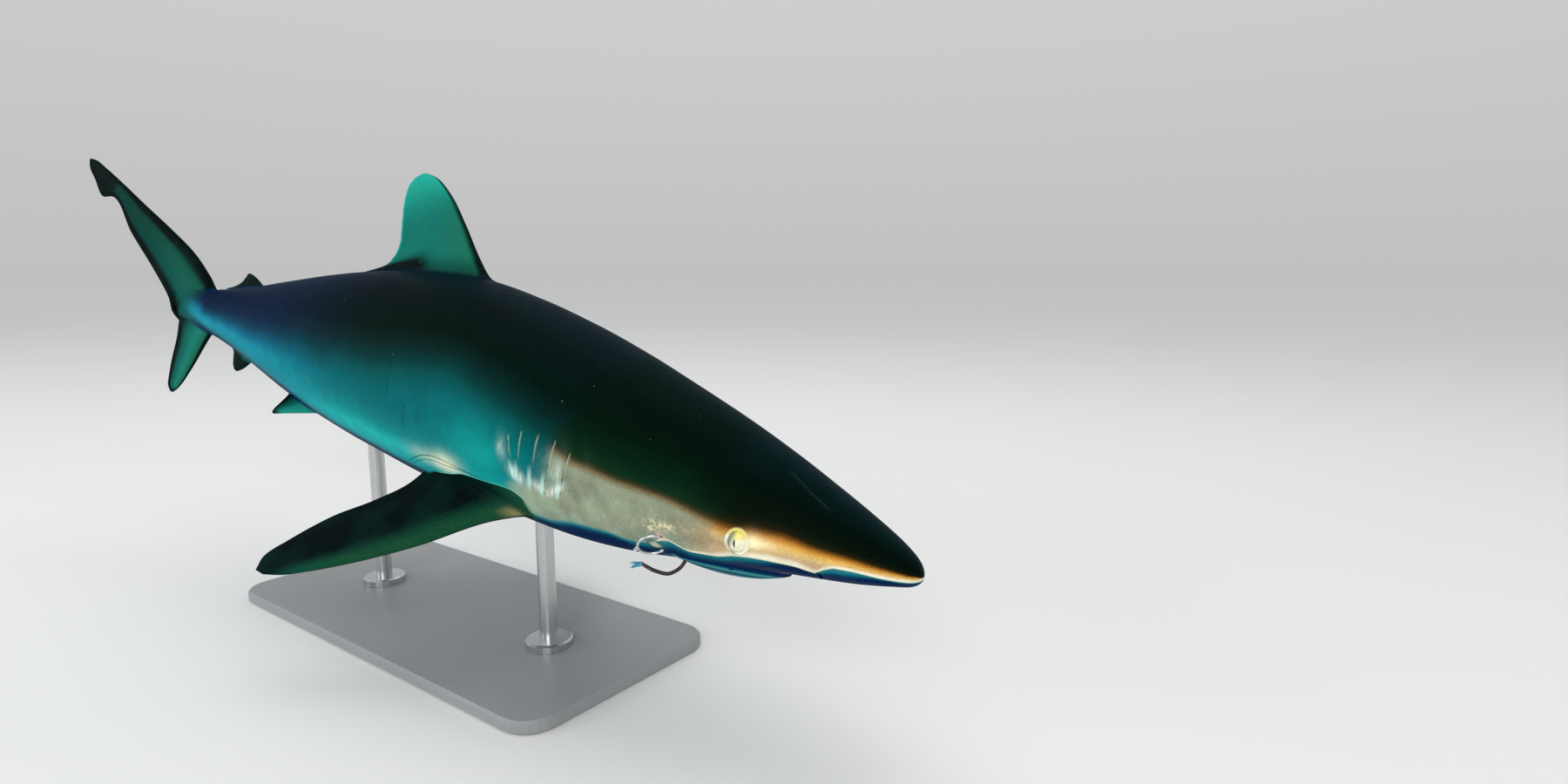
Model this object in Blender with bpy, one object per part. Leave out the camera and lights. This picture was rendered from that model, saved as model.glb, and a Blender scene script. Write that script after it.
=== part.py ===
"""Silky shark, Carcharhinus falciformis: a still, life-size model on a plain display stand.

Metres, +Z up. The shark heads along +X, and its right side is on -Y. The origin is the centre of
the underside of the stand's base.

The shark is laid out in fractions of its total length. A station runs from 0 at the snout tip to 1
at the tail tip, along a spine that bends to the side and up. Each body section is a smooth oval
round the spine, given by its height above it, its depth below it and its half width. An angle
round the body is 0 at the middle of the flank, 90 along the back and -90 along the belly. Each
fin is an outline in its own plane, with a streamlined section. The body is parted by thin cuts, so
its pieces meet face to face with a small gap and never overlap.
"""
import math

import bmesh
import bpy
import numpy as np
from mathutils import Matrix, Vector

# ---------------------------------------------------------------- driving dimensions
TOTAL_LENGTH = 2.2
GAP = 0.0003

# How the whole animal is carried: the spine's middle station, its place and its attitude.
MIDDLE_STATION = 0.36
MIDDLE_PLACE = (0.02, 0.0, 0.37)
NOSE_DOWN_DEG = 8.3
RIGHT_SIDE_UP_DEG = 12.1

# Bend of the spine: station, turn to the left and turn upwards, in degrees per body length, as
# the eye runs forward along the spine.
SPINE_BENDS = (
    (0.00, 6.0, 12.0),
    (0.15, 74.0, 12.0),
    (0.36, -31.0, -30.0),
    (0.55, 23.0, 11.0),
    (0.70, -8.0, -5.0),
    (0.74, -110.0, -3.0),
    (0.80, -110.0, -2.0),
    (0.86, 0.0, 0.0),
    (1.02, 0.0, 0.0),
)

# Body sections: station, height above the spine, depth below it, half width.
BODY_SECTIONS = (
    (0.000, 0.0000, 0.0000, 0.0000),
    (0.004, 0.0076, 0.0050, 0.0100),
    (0.012, 0.0128, 0.0074, 0.0167),
    (0.030, 0.0208, 0.0118, 0.0270),
    (0.055, 0.0304, 0.0165, 0.0359),
    (0.085, 0.0408, 0.0224, 0.0438),
    (0.120, 0.0510, 0.0306, 0.0499),
    (0.160, 0.0602, 0.0404, 0.0550),
    (0.200, 0.0682, 0.0470, 0.0576),
    (0.250, 0.0756, 0.0516, 0.0592),
    (0.300, 0.0805, 0.0560, 0.0590),
    (0.350, 0.0832, 0.0584, 0.0570),
    (0.420, 0.0790, 0.0558, 0.0530),
    (0.480, 0.0714, 0.0506, 0.0474),
    (0.540, 0.0612, 0.0424, 0.0403),
    (0.600, 0.0492, 0.0332, 0.0318),
    (0.660, 0.0368, 0.0256, 0.0230),
    (0.705, 0.0288, 0.0213, 0.0172),
    (0.735, 0.0242, 0.0188, 0.0140),
    (0.765, 0.0215, 0.0168, 0.0112),
)
ROUND_STEPS = 32

# The body's lengths: name, last station, rings along it.
BODY_LENGTHS = (
    ("head", 0.163, 15),
    ("gill_region", 0.236, 5),
    ("trunk_front", 0.370, 7),
    ("trunk_rear", 0.500, 7),
    ("tail_front", 0.630, 7),
    ("tail_stem", 0.756, 8),
)
SNOUT_CROWDING = 1.8

# Lower jaw: front and hinge stations, half width at the hinge, height inside the head, and how
# far it hangs below the line of the snout and throat.
JAW_FRONT, JAW_HINGE, JAW_END = 0.065, 0.112, 0.124
JAW_HALF_WIDTH = 0.031
JAW_TOP_SHARE = 0.30
JAW_BULGE = 0.0068

# Eye: station and angle of its centre, ball radius, and how deep the ball's centre lies.
EYE_STATION, EYE_ANGLE = 0.0825, -9.0
EYE_RADIUS, EYE_DEPTH = 0.0160, 0.0124

# Fin sections: places along the chord, thickness left at the edges, and where they are thickest.
FIN_CHORD_SHARES = (0.0, 0.04, 0.13, 0.27, 0.44, 0.62, 0.80, 1.0)
FIN_EDGE = 0.0009
THICKEST_SHARE = 1.0 / 3.0

# Fin outlines: leading and trailing edge from root to tip, as (back, out) from the fin's origin.
FIRST_DORSAL = {
    "lead": ((0.0, 0.0), (0.0190, 0.0165), (0.0380, 0.0360), (0.0610, 0.0580), (0.0810, 0.0710),
             (0.0935, 0.0752)),
    "trail": ((0.1500, 0.0008), (0.1200, 0.0065), (0.1095, 0.0220), (0.1125, 0.0400),
              (0.1145, 0.0550), (0.1125, 0.0672), (0.1005, 0.0749)),
    "rows": 10, "root_thickness": 0.0125, "tip_thickness": 0.0015,
}
SECOND_DORSAL = {
    "lead": ((0.0, 0.0), (0.0120, 0.0065), (0.0220, 0.0110), (0.0305, 0.0138)),
    "trail": ((0.0730, 0.0010), (0.0550, 0.0030), (0.0435, 0.0062), (0.0375, 0.0105),
              (0.0345, 0.0136)),
    "rows": 7, "root_thickness": 0.0045, "tip_thickness": 0.0008,
}
ANAL = {
    "lead": ((0.0, 0.0), (0.0090, 0.0070), (0.0190, 0.0145), (0.0285, 0.0192)),
    "trail": ((0.0500, 0.0010), (0.0425, 0.0045), (0.0405, 0.0105), (0.0385, 0.0160),
              (0.0340, 0.0192)),
    "rows": 7, "root_thickness": 0.0050, "tip_thickness": 0.0008,
}
PECTORAL = {
    "lead": ((0.0, 0.0), (0.0210, 0.0155), (0.0500, 0.0465), (0.0840, 0.0765), (0.1100, 0.0960),
             (0.1230, 0.1045), (0.1370, 0.1110)),
    "trail": ((0.0945, 0.0060), (0.0965, 0.0180), (0.1100, 0.0398), (0.1290, 0.0620),
              (0.1435, 0.0880), (0.1495, 0.1030), (0.1450, 0.1118)),
    "rows": 12, "root_thickness": 0.0115, "tip_thickness": 0.0014,
}
PELVIC = {
    "lead": ((0.0, 0.0), (0.0090, 0.0092), (0.0175, 0.0180), (0.0240, 0.0246)),
    "trail": ((0.0440, 0.0020), (0.0385, 0.0080), (0.0335, 0.0155), (0.0295, 0.0220),
              (0.0262, 0.0250)),
    "rows": 7, "root_thickness": 0.0055, "tip_thickness": 0.0010,
}
CAUDAL_UPPER = {
    "lead": ((-0.0300, 0.0165), (0.0, 0.0216), (0.0170, 0.0330), (0.0475, 0.0505),
             (0.0930, 0.0700), (0.1420, 0.0895), (0.1860, 0.1075), (0.2160, 0.1190),
             (0.2400, 0.1262)),
    "trail": ((-0.0300, -0.0140), (0.0060, -0.0170), (0.0545, -0.0150), (0.0714, -0.0010),
              (0.1097, 0.0275), (0.1540, 0.0580), (0.1965, 0.0905), (0.2095, 0.0885),
              (0.2300, 0.1050), (0.2455, 0.1215)),
    "rows": 17, "root_thickness": 0.0130, "tip_thickness": 0.0012, "taper": 1.3,
}
CAUDAL_LOWER = {
    "lead": ((-0.0120, -0.0100), (-0.0070, -0.0185), (0.0030, -0.0345), (0.0175, -0.0580),
             (0.0350, -0.0810), (0.0420, -0.0860)),
    "trail": ((0.0260, -0.0020), (0.0540, -0.0165), (0.0525, -0.0330), (0.0540, -0.0580),
              (0.0530, -0.0790), (0.0475, -0.0857)),
    "rows": 10, "root_thickness": 0.0080, "tip_thickness": 0.0010,
}
# Where the fins start: station, and for a paired fin the angle round the body, how far it droops
# below level on the right and left, and how far its chord turns nose up.
FIRST_DORSAL_STATION, SECOND_DORSAL_STATION, ANAL_STATION = 0.351, 0.6555, 0.6455
CAUDAL_STATION = 0.746
PECTORAL_PLACE = {"station": 0.219, "angle": -53.0, "droops": (53.5, 26.0), "twist": -1.4}
PELVIC_PLACE = {"station": 0.505, "angle": -76.0, "droops": (36.0, 36.0), "twist": -15.0}
# How deep each root runs into the body, and how much of the chord does so: the rest is free.
FIRST_DORSAL_SINK, SECOND_DORSAL_SINK, ANAL_SINK = (0.016, 0.66), (0.006, 0.45), (0.006, 0.55)
PECTORAL_SINK, PELVIC_SINK = (0.030, 0.60), (0.014, 0.62)
ROOT_FRONT_SHARE = 0.06

# Hooks left in the corner of the mouth, in metres, placed by station and angle on the skin.
CIRCLE_HOOK_SKIN = (0.1270, -37.0)
CIRCLE_HOOK_RADIUS, CIRCLE_HOOK_WIRE, CIRCLE_HOOK_LIFT = 0.0165, 0.0013, 0.0045
CIRCLE_HOOK_TILT_DEG, CIRCLE_HOOK_ARC_DEG = 32.0, 300.0
HOOK_EYE_RADIUS, HOOK_EYE_WIRE = 0.0022, 0.0009
SHANK_HOOK_SKIN = (0.1210, -66.0)
SHANK_TRAIL, SHANK_DROP = (0.85, 0.46, -0.32), (0.0, 0.22, -1.0)
SHANK_LINE = ((-0.004, -0.014), (0.0, 0.0), (0.008, 0.0115), (0.020, 0.0165), (0.033, 0.0125),
              (0.047, 0.0035))
SHANK_WIRE = 0.0019
SLEEVE_LENGTH, SLEEVE_RADII = 0.013, (0.0022, 0.0026, 0.0023, 0.0027, 0.0020)
HOOK_STEPS = 22

# Stand.
BASE_SIZE = (0.78, 0.34, 0.018)
BASE_CORNER, BASE_EDGE = 0.045, 0.003
ROD_RADIUS, COLLAR_RADIUS, COLLAR_HEIGHT = 0.0125, 0.034, 0.012
ROD_STATIONS = {"stand_rod_front": 0.265, "stand_rod_rear": 0.468}


# ---------------------------------------------------------------- smooth curves
def smooth_curve(xs, ys):
    """A curve through the points that is smooth and doesn't overshoot them."""
    xs = np.asarray(xs, float)
    ys = np.asarray(ys, float)
    step = np.diff(xs)
    rise = np.diff(ys) / step
    slope = np.zeros_like(ys)
    slope[0], slope[-1] = rise[0], rise[-1]
    for i in range(1, len(xs) - 1):
        if rise[i - 1] * rise[i] > 0:
            before, after = 2 * step[i] + step[i - 1], step[i] + 2 * step[i - 1]
            slope[i] = (before + after) / (before / rise[i - 1] + after / rise[i])

    def value(x):
        i = int(np.clip(np.searchsorted(xs, x) - 1, 0, len(step) - 1))
        t = (x - xs[i]) / step[i]
        ease = t * t * (3 - 2 * t)
        return (ys[i] * (1 - ease) + ys[i + 1] * ease
                + step[i] * (slope[i] * t * (1 - t) ** 2 - slope[i + 1] * t * t * (1 - t)))
    return value


def smooth_line(points):
    """A smooth line through points in a plane, asked for by its share of the length, 0 to 1."""
    points = np.asarray(points, float)
    runs = np.linalg.norm(np.diff(points, axis=0), axis=1)
    share = np.concatenate([[0.0], np.cumsum(runs)]) / runs.sum()
    curves = [smooth_curve(share, points[:, axis]) for axis in range(points.shape[1])]
    return lambda t: np.array([curve(t) for curve in curves])


# ---------------------------------------------------------------- the bent spine
class Spine:
    """Centre and axes of the body at any station, in world space."""

    def __init__(self):
        self.stations = np.linspace(0.0, 1.02, 511)
        bends = np.radians(np.array(SPINE_BENDS))
        at = [row[0] for row in SPINE_BENDS]
        turn = -self.sum_up(np.interp(self.stations, at, bends[:, 1]))
        lift = -self.sum_up(np.interp(self.stations, at, bends[:, 2]))
        turn -= np.interp(MIDDLE_STATION, self.stations, turn)
        lift -= np.interp(MIDDLE_STATION, self.stations, lift)
        flat = np.cos(lift)
        self.forward = np.stack([flat * np.cos(turn), flat * np.sin(turn), np.sin(lift)], 1)
        self.left = np.stack([-np.sin(turn), np.cos(turn), 0 * turn], 1)
        self.up = np.cross(self.forward, self.left)
        self.centre = -np.stack([self.sum_up(self.forward[:, i]) for i in range(3)], 1)
        self.centre -= self.pick(self.centre, MIDDLE_STATION)
        self.attitude = (Matrix.Rotation(math.radians(NOSE_DOWN_DEG), 3, "Y")
                         @ Matrix.Rotation(math.radians(-RIGHT_SIDE_UP_DEG), 3, "X"))

    def sum_up(self, values):
        middle = (values[1:] + values[:-1]) / 2 * np.diff(self.stations)
        return np.concatenate([[0.0], np.cumsum(middle)])

    def pick(self, rows, station):
        return np.array([np.interp(station, self.stations, rows[:, i]) for i in range(3)])

    def direction(self, station, back, right, up):
        """World direction of a vector given along the body's own axes at a station."""
        local = (-back * self.pick(self.forward, station) - right * self.pick(self.left, station)
                 + up * self.pick(self.up, station))
        return self.attitude @ Vector(local)

    def point(self, station, right, up):
        """World point at a station, given in body lengths to the right of the spine and above."""
        local = (self.pick(self.centre, station) - right * self.pick(self.left, station)
                 + up * self.pick(self.up, station))
        return self.attitude @ Vector(local * TOTAL_LENGTH) + Vector(MIDDLE_PLACE)


SPINE = Spine()
STATION_COLUMN = [row[0] for row in BODY_SECTIONS]


def section_curve(column):
    """One column of the body sections; the root of the station makes the snout tip round."""
    roots = np.sqrt(STATION_COLUMN)
    curve = smooth_curve(roots, [row[column] for row in BODY_SECTIONS])
    return lambda station: float(curve(math.sqrt(max(0.0, station))))


body_top, body_bottom, body_side = section_curve(1), section_curve(2), section_curve(3)


def section_point(station, angle, grow=0.0):
    """Right and up offsets of the body's surface, in body lengths."""
    across = math.cos(math.radians(angle))
    rise = math.sin(math.radians(angle))
    reach = (body_top(station) if rise >= 0 else body_bottom(station)) + grow
    return (body_side(station) + grow) * across, reach * rise


def skin_point(station, angle, side=1):
    """World point on the skin; side is 1 for the shark's right and -1 for its left."""
    right, up = section_point(station, angle)
    return SPINE.point(station, side * right, up)


def skin_normal(station, angle, side=1):
    """Outward direction of the skin."""
    step = 0.002
    along = skin_point(station + step, angle, side) - skin_point(station - step, angle, side)
    turn = 2.0
    around = skin_point(station, angle + turn, side) - skin_point(station, angle - turn, side)
    return (around.cross(along) * side).normalized()


# ---------------------------------------------------------------- meshes
def material(name, colour, roughness, metallic=0.0):
    made = bpy.data.materials.new(name)
    made.use_nodes = True
    shader = made.node_tree.nodes["Principled BSDF"]
    shader.inputs["Base Color"].default_value = (*colour, 1.0)
    shader.inputs["Roughness"].default_value = roughness
    shader.inputs["Metallic"].default_value = metallic
    return made


def loft(name, rings, finish, strip_ends=False):
    """A closed solid through rings of points; a ring of one point is a tip."""
    shape = bmesh.new()
    rows = [[shape.verts.new(point) for point in ring] for ring in rings]
    for first, second in zip(rows, rows[1:]):
        bridge(shape, first, second)
    for row in (rows[0], rows[-1]):
        if len(row) > 1:
            close_end(shape, row, strip_ends)
    bmesh.ops.recalc_face_normals(shape, faces=shape.faces)
    mesh = bpy.data.meshes.new(name)
    shape.to_mesh(mesh)
    shape.free()
    mesh.shade_smooth()
    mesh.set_sharp_from_angle(angle=math.radians(40))
    mesh.materials.append(finish)
    item = bpy.data.objects.new(name, mesh)
    bpy.context.scene.collection.objects.link(item)
    return item


def bridge(shape, first, second):
    count = max(len(first), len(second))
    for i in range(count):
        after = (i + 1) % count
        if len(first) == 1:
            shape.faces.new((first[0], second[i], second[after]))
        elif len(second) == 1:
            shape.faces.new((first[i], first[after], second[0]))
        else:
            shape.faces.new((first[i], first[after], second[after], second[i]))


def close_end(shape, row, strip_ends):
    """Close an end with one flat face, or with a strip across a thin section."""
    if not strip_ends:
        shape.faces.new(row)
        return
    half = len(row) // 2
    upper, lower = row[:half], row[half:][::-1]
    for i in range(half - 1):
        shape.faces.new((upper[i], upper[i + 1], lower[i + 1], lower[i]))


def hide_cutter(cutter):
    cutter.hide_render = True
    cutter.display_type = "WIRE"
    return cutter


def cut(item, *cutters, solver="EXACT"):
    for cutter in cutters:
        step = item.modifiers.new("cut by " + cutter.name, "BOOLEAN")
        step.operation = "DIFFERENCE"
        step.solver = solver
        step.object = cutter


def join_on(item, extra, solver="EXACT"):
    step = item.modifiers.new("join " + extra.name, "BOOLEAN")
    step.operation = "UNION"
    step.solver = solver
    step.object = hide_cutter(extra)


def ball(name, centre, radius, finish):
    shape = bmesh.new()
    bmesh.ops.create_uvsphere(shape, u_segments=14, v_segments=8, radius=radius)
    mesh = bpy.data.meshes.new(name)
    shape.to_mesh(mesh)
    shape.free()
    mesh.shade_smooth()
    mesh.materials.append(finish)
    item = bpy.data.objects.new(name, mesh)
    item.location = centre
    bpy.context.scene.collection.objects.link(item)
    return item


def tube(name, points, radii, sides, finish):
    """A round bar along a line of points, with its own radius at each."""
    points = [Vector(point) for point in points]
    rings = []
    across = None
    for i, point in enumerate(points):
        along = (points[min(i + 1, len(points) - 1)] - points[max(i - 1, 0)]).normalized()
        if across is None:
            across = along.orthogonal().normalized()
        across = (across - along * across.dot(along)).normalized()
        other = along.cross(across)
        turns = [2 * math.pi * k / sides for k in range(sides)]
        rings.append([point + radii[i] * (math.cos(a) * across + math.sin(a) * other) for a in turns])
    return loft(name, rings, finish)


# ---------------------------------------------------------------- body
def body_ring(station, grow=0.0):
    ring = []
    for i in range(ROUND_STEPS):
        right, up = section_point(station, 360.0 * i / ROUND_STEPS, grow)
        ring.append(SPINE.point(station, right, up))
    return ring


def ring_stations(first, last, count):
    """Even steps along a body length, crowded towards the snout tip on the head."""
    if first == 0.0:
        return [last * ((i + 1) / count) ** SNOUT_CROWDING for i in range(count)]
    return [first + (last - first) * i / count for i in range(count + 1)]


def make_body(finish):
    half_gap = GAP / 2 / TOTAL_LENGTH
    pieces = {}
    all_stations = []
    first = 0.0
    for name, last, count in BODY_LENGTHS:
        stations = ring_stations(first, last, count)
        all_stations += [s for s in stations if s not in all_stations]
        if first > 0.0:
            stations[0] += half_gap
        if last < BODY_LENGTHS[-1][1]:
            stations[-1] -= half_gap
        rings = [body_ring(station) for station in stations]
        if first == 0.0:
            rings.insert(0, [SPINE.point(0.0, 0.0, 0.0)])
        pieces[name] = loft(name, rings, finish)
        first = last
    grow = GAP / TOTAL_LENGTH
    rings = [[SPINE.point(-grow, 0.0, 0.0)]]
    rings += [body_ring(station, grow) for station in all_stations]
    rings.append(body_ring(first + grow, grow))
    clearance = hide_cutter(loft("body_clearance", rings, finish))
    return pieces, clearance


def jaw_rings(grow=0.0):
    """D-shaped rings of the lower jaw, from its front to behind the hinge."""
    rings = []
    rows, columns = 8, 9
    for i in range(rows + 1):
        station = JAW_FRONT - grow + (JAW_END - JAW_FRONT + 2 * grow) * i / rows
        run = min(1.0, max(0.0, (station - JAW_FRONT) / (JAW_HINGE - JAW_FRONT)))
        half = JAW_HALF_WIDTH * (0.24 + 0.76 * math.sqrt(run)) + grow
        hang = JAW_BULGE * math.sin(math.pi * min(1.0, 0.06 + 0.94 * i / rows)) ** 0.7
        depth, width = body_bottom(station), body_side(station)
        top = -JAW_TOP_SHARE * depth + grow
        ring = []
        for k in range(columns):
            share = 2 * k / (columns - 1) - 1
            right = half * share
            skin = -depth * math.sqrt(max(0.0, 1 - (right / width) ** 2))
            ring.append(SPINE.point(station, right, skin - hang * (1 - share ** 2) - grow))
        for k in range(columns):
            ring.append(SPINE.point(station, half * (1 - 2 * k / (columns - 1)), top))
        rings.append(ring)
    return rings


def make_head_parts(head, finish, eye_finish):
    loft("lower_jaw", jaw_rings(), finish, strip_ends=True)
    space = loft("jaw_space", jaw_rings(GAP / TOTAL_LENGTH), finish, strip_ends=True)
    cut(head, hide_cutter(space))
    for side, word in ((1, "right"), (-1, "left")):
        surface = skin_point(EYE_STATION, EYE_ANGLE, side)
        centre = surface - skin_normal(EYE_STATION, EYE_ANGLE, side) * EYE_DEPTH
        ball("eye_" + word, centre, EYE_RADIUS, eye_finish)
        socket = ball("eye_socket_" + word, centre, EYE_RADIUS + GAP, finish)
        cut(head, hide_cutter(socket))
    return space


# ---------------------------------------------------------------- fins
def fin_sections(lead, trail, rows, root_thickness, tip_thickness, taper=1.0):
    """Rows of (back, out, half thickness) from the root to the tip of a fin.

    lead and trail are the two edges, both from the root to the tip, as (back, out) points.
    """
    lead_line, trail_line = smooth_line(lead), smooth_line(trail)
    sections = []
    for i in range(rows + 1):
        share = math.sin(math.pi / 2 * i / rows)
        front, rear = lead_line(share), trail_line(share)
        thick = tip_thickness + (root_thickness - tip_thickness) * (1 - share) ** taper
        section = []
        for chord in FIN_CHORD_SHARES:
            place = front + (rear - front) * chord
            peak = math.sqrt(THICKEST_SHARE) * (1 - THICKEST_SHARE)
            swell = math.sqrt(chord) * (1 - chord) / peak
            half = (FIN_EDGE + thick * TOTAL_LENGTH * swell) / 2 / TOTAL_LENGTH
            section.append((place[0], place[1], half))
        sections.append(section)
    return sections


def fin_loft(name, sections, place, finish):
    """Loft fin sections; place(back, out, side) gives the world point."""
    rings = []
    for section in sections:
        one = [place(back, out, half) for back, out, half in section]
        other = [place(back, out, -half) for back, out, half in section]
        rings.append(one + other[::-1])
    return loft(name, rings, finish, strip_ends=True)


def sunk_root(sections, sink, rear_share):
    """Add a root row inside the body, so that the rear of the lowest row is a free tip."""
    first = sections[0]
    front, rear = np.array(first[0][:2]), np.array(first[-1][:2])
    root = []
    for chord, (_, _, half) in zip(FIN_CHORD_SHARES, first):
        place = front + (rear - front) * (ROOT_FRONT_SHARE + (rear_share - ROOT_FRONT_SHARE) * chord)
        root.append((place[0], place[1] - sink, half))
    return [root] + sections


def on_back(origin, sign=1):
    """Placing for a fin on the middle line: along the back, or along the belly with sign -1."""
    def place(back, out, side):
        station = origin + back
        surface = body_top(station) if sign > 0 else body_bottom(station)
        return SPINE.point(station, side, sign * (surface + out))
    return place


def make_middle_fins(finish, clearance):
    for name, outline, sink, place in (
            ("dorsal_fin_1", FIRST_DORSAL, FIRST_DORSAL_SINK, on_back(FIRST_DORSAL_STATION)),
            ("dorsal_fin_2", SECOND_DORSAL, SECOND_DORSAL_SINK, on_back(SECOND_DORSAL_STATION)),
            ("anal_fin", ANAL, ANAL_SINK, on_back(ANAL_STATION, -1))):
        fin = fin_loft(name, sunk_root(fin_sections(**outline), *sink), place, finish)
        cut(fin, clearance)


def make_tail_fin(finish, clearance):
    def place(back, out, side):
        return SPINE.point(CAUDAL_STATION + back, side, out)

    upper = fin_sections(**CAUDAL_UPPER)
    cut(fin_loft("caudal_fin_upper", upper, place, finish), clearance)
    lower_fin = fin_loft("caudal_fin_lower", fin_sections(**CAUDAL_LOWER), place, finish)
    space = hide_cutter(fin_loft("caudal_space", upper, place, finish))
    swell = space.modifiers.new("clearance all round", "DISPLACE")
    swell.mid_level = 0.0
    swell.strength = 3 * GAP
    cut(lower_fin, clearance, space, solver="MANIFOLD")


def paired_place(station, angle, droop_deg, twist_deg, side):
    """Placing for a fin that stands out from the flank, drooping below level by an angle."""
    origin = skin_point(station, angle, side)
    droop, twist = math.radians(droop_deg), math.radians(twist_deg)
    root_middle = station + 0.03
    back = SPINE.direction(root_middle, math.cos(twist), 0.0, -math.sin(twist)).normalized()
    out = SPINE.direction(root_middle, 0.0, side * math.cos(droop), -math.sin(droop))
    out = (out - back * out.dot(back)).normalized()
    normal = back.cross(out).normalized()

    def place(along, away, half):
        return origin + TOTAL_LENGTH * (back * along + out * away + normal * half)
    return place


def make_paired_fins(finish, clearance):
    for name, outline, sink, where in (
            ("pectoral_fin_", PECTORAL, PECTORAL_SINK, PECTORAL_PLACE),
            ("pelvic_fin_", PELVIC, PELVIC_SINK, PELVIC_PLACE)):
        sections = sunk_root(fin_sections(**outline), *sink)
        for side, word, droop in zip((1, -1), ("right", "left"), where["droops"]):
            place = paired_place(where["station"], where["angle"], droop, where["twist"], side)
            cut(fin_loft(name + word, sections, place, finish), clearance)


# ---------------------------------------------------------------- hooks left in the jaw
def make_circle_hook(steel, clearance):
    """A ring-shaped hook through the corner of the mouth, with a small eye at its back."""
    station, angle = CIRCLE_HOOK_SKIN
    normal = skin_normal(station, angle)
    back = SPINE.direction(station, 1.0, 0.0, 0.0)
    back = (back - normal * back.dot(normal)).normalized()
    down = back.cross(normal).normalized()
    if down.z > 0:
        down = -down
    tilt = math.radians(CIRCLE_HOOK_TILT_DEG)
    outward = back * math.cos(tilt) + normal * math.sin(tilt)
    centre = skin_point(station, angle) + normal * CIRCLE_HOOK_LIFT
    turns = [math.radians(CIRCLE_HOOK_ARC_DEG * (i / HOOK_STEPS - 0.5)) for i in range(HOOK_STEPS + 1)]
    ring = [centre + CIRCLE_HOOK_RADIUS * (math.cos(a) * outward + math.sin(a) * down) for a in turns]
    hook = tube("hook_circle", ring, [CIRCLE_HOOK_WIRE] * len(ring), 7, steel)
    eye_centre = centre + (CIRCLE_HOOK_RADIUS + HOOK_EYE_RADIUS) * outward
    turns = [math.radians(36 * i) for i in range(10)]
    eye = [eye_centre + HOOK_EYE_RADIUS * (math.cos(a) * outward + math.sin(a) * normal) for a in turns]
    bar = ring_bar("hook_circle_eye", eye, eye_centre, HOOK_EYE_WIRE, 6, steel)
    join_on(hook, bar, solver="MANIFOLD")
    cut(hook, clearance, solver="MANIFOLD")


def make_shank_hook(steel, plastic, clearance, jaw_space):
    """A second hook whose curved shank stands out below the jaw, with a sleeve at its end."""
    station, angle = SHANK_HOOK_SKIN
    root = skin_point(station, angle)
    trail = SPINE.direction(station, *SHANK_TRAIL).normalized()
    drop = SPINE.direction(station, *SHANK_DROP)
    drop = (drop - trail * drop.dot(trail)).normalized()
    line = smooth_line(SHANK_LINE)
    points = []
    for i in range(HOOK_STEPS + 1):
        along, below = line(i / HOOK_STEPS)
        points.append(root + trail * along + drop * below)
    hook = tube("hook_shank", points, [SHANK_WIRE] * len(points), 8, steel)
    cut(hook, clearance, jaw_space)
    way = (points[-1] - points[-2]).normalized()
    last = len(SLEEVE_RADII) - 1
    sleeve = [points[-1] + way * (GAP + SLEEVE_LENGTH * i / last) for i in range(last + 1)]
    tube("hook_sleeve", sleeve, SLEEVE_RADII, 8, plastic)


def ring_bar(name, points, centre, wire, sides, finish):
    """A closed ring of round bar."""
    shape = bmesh.new()
    rows = []
    count = len(points)
    axis = (points[0] - centre).cross(points[1] - centre).normalized()
    for point in points:
        out = (point - centre).normalized()
        turns = [2 * math.pi * k / sides for k in range(sides)]
        ring = [point + wire * (math.cos(a) * out + math.sin(a) * axis) for a in turns]
        rows.append([shape.verts.new(place) for place in ring])
    for i in range(count):
        bridge(shape, rows[i], rows[(i + 1) % count])
    bmesh.ops.recalc_face_normals(shape, faces=shape.faces)
    mesh = bpy.data.meshes.new(name)
    shape.to_mesh(mesh)
    shape.free()
    mesh.shade_smooth()
    mesh.materials.append(finish)
    item = bpy.data.objects.new(name, mesh)
    bpy.context.scene.collection.objects.link(item)
    return item


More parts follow.
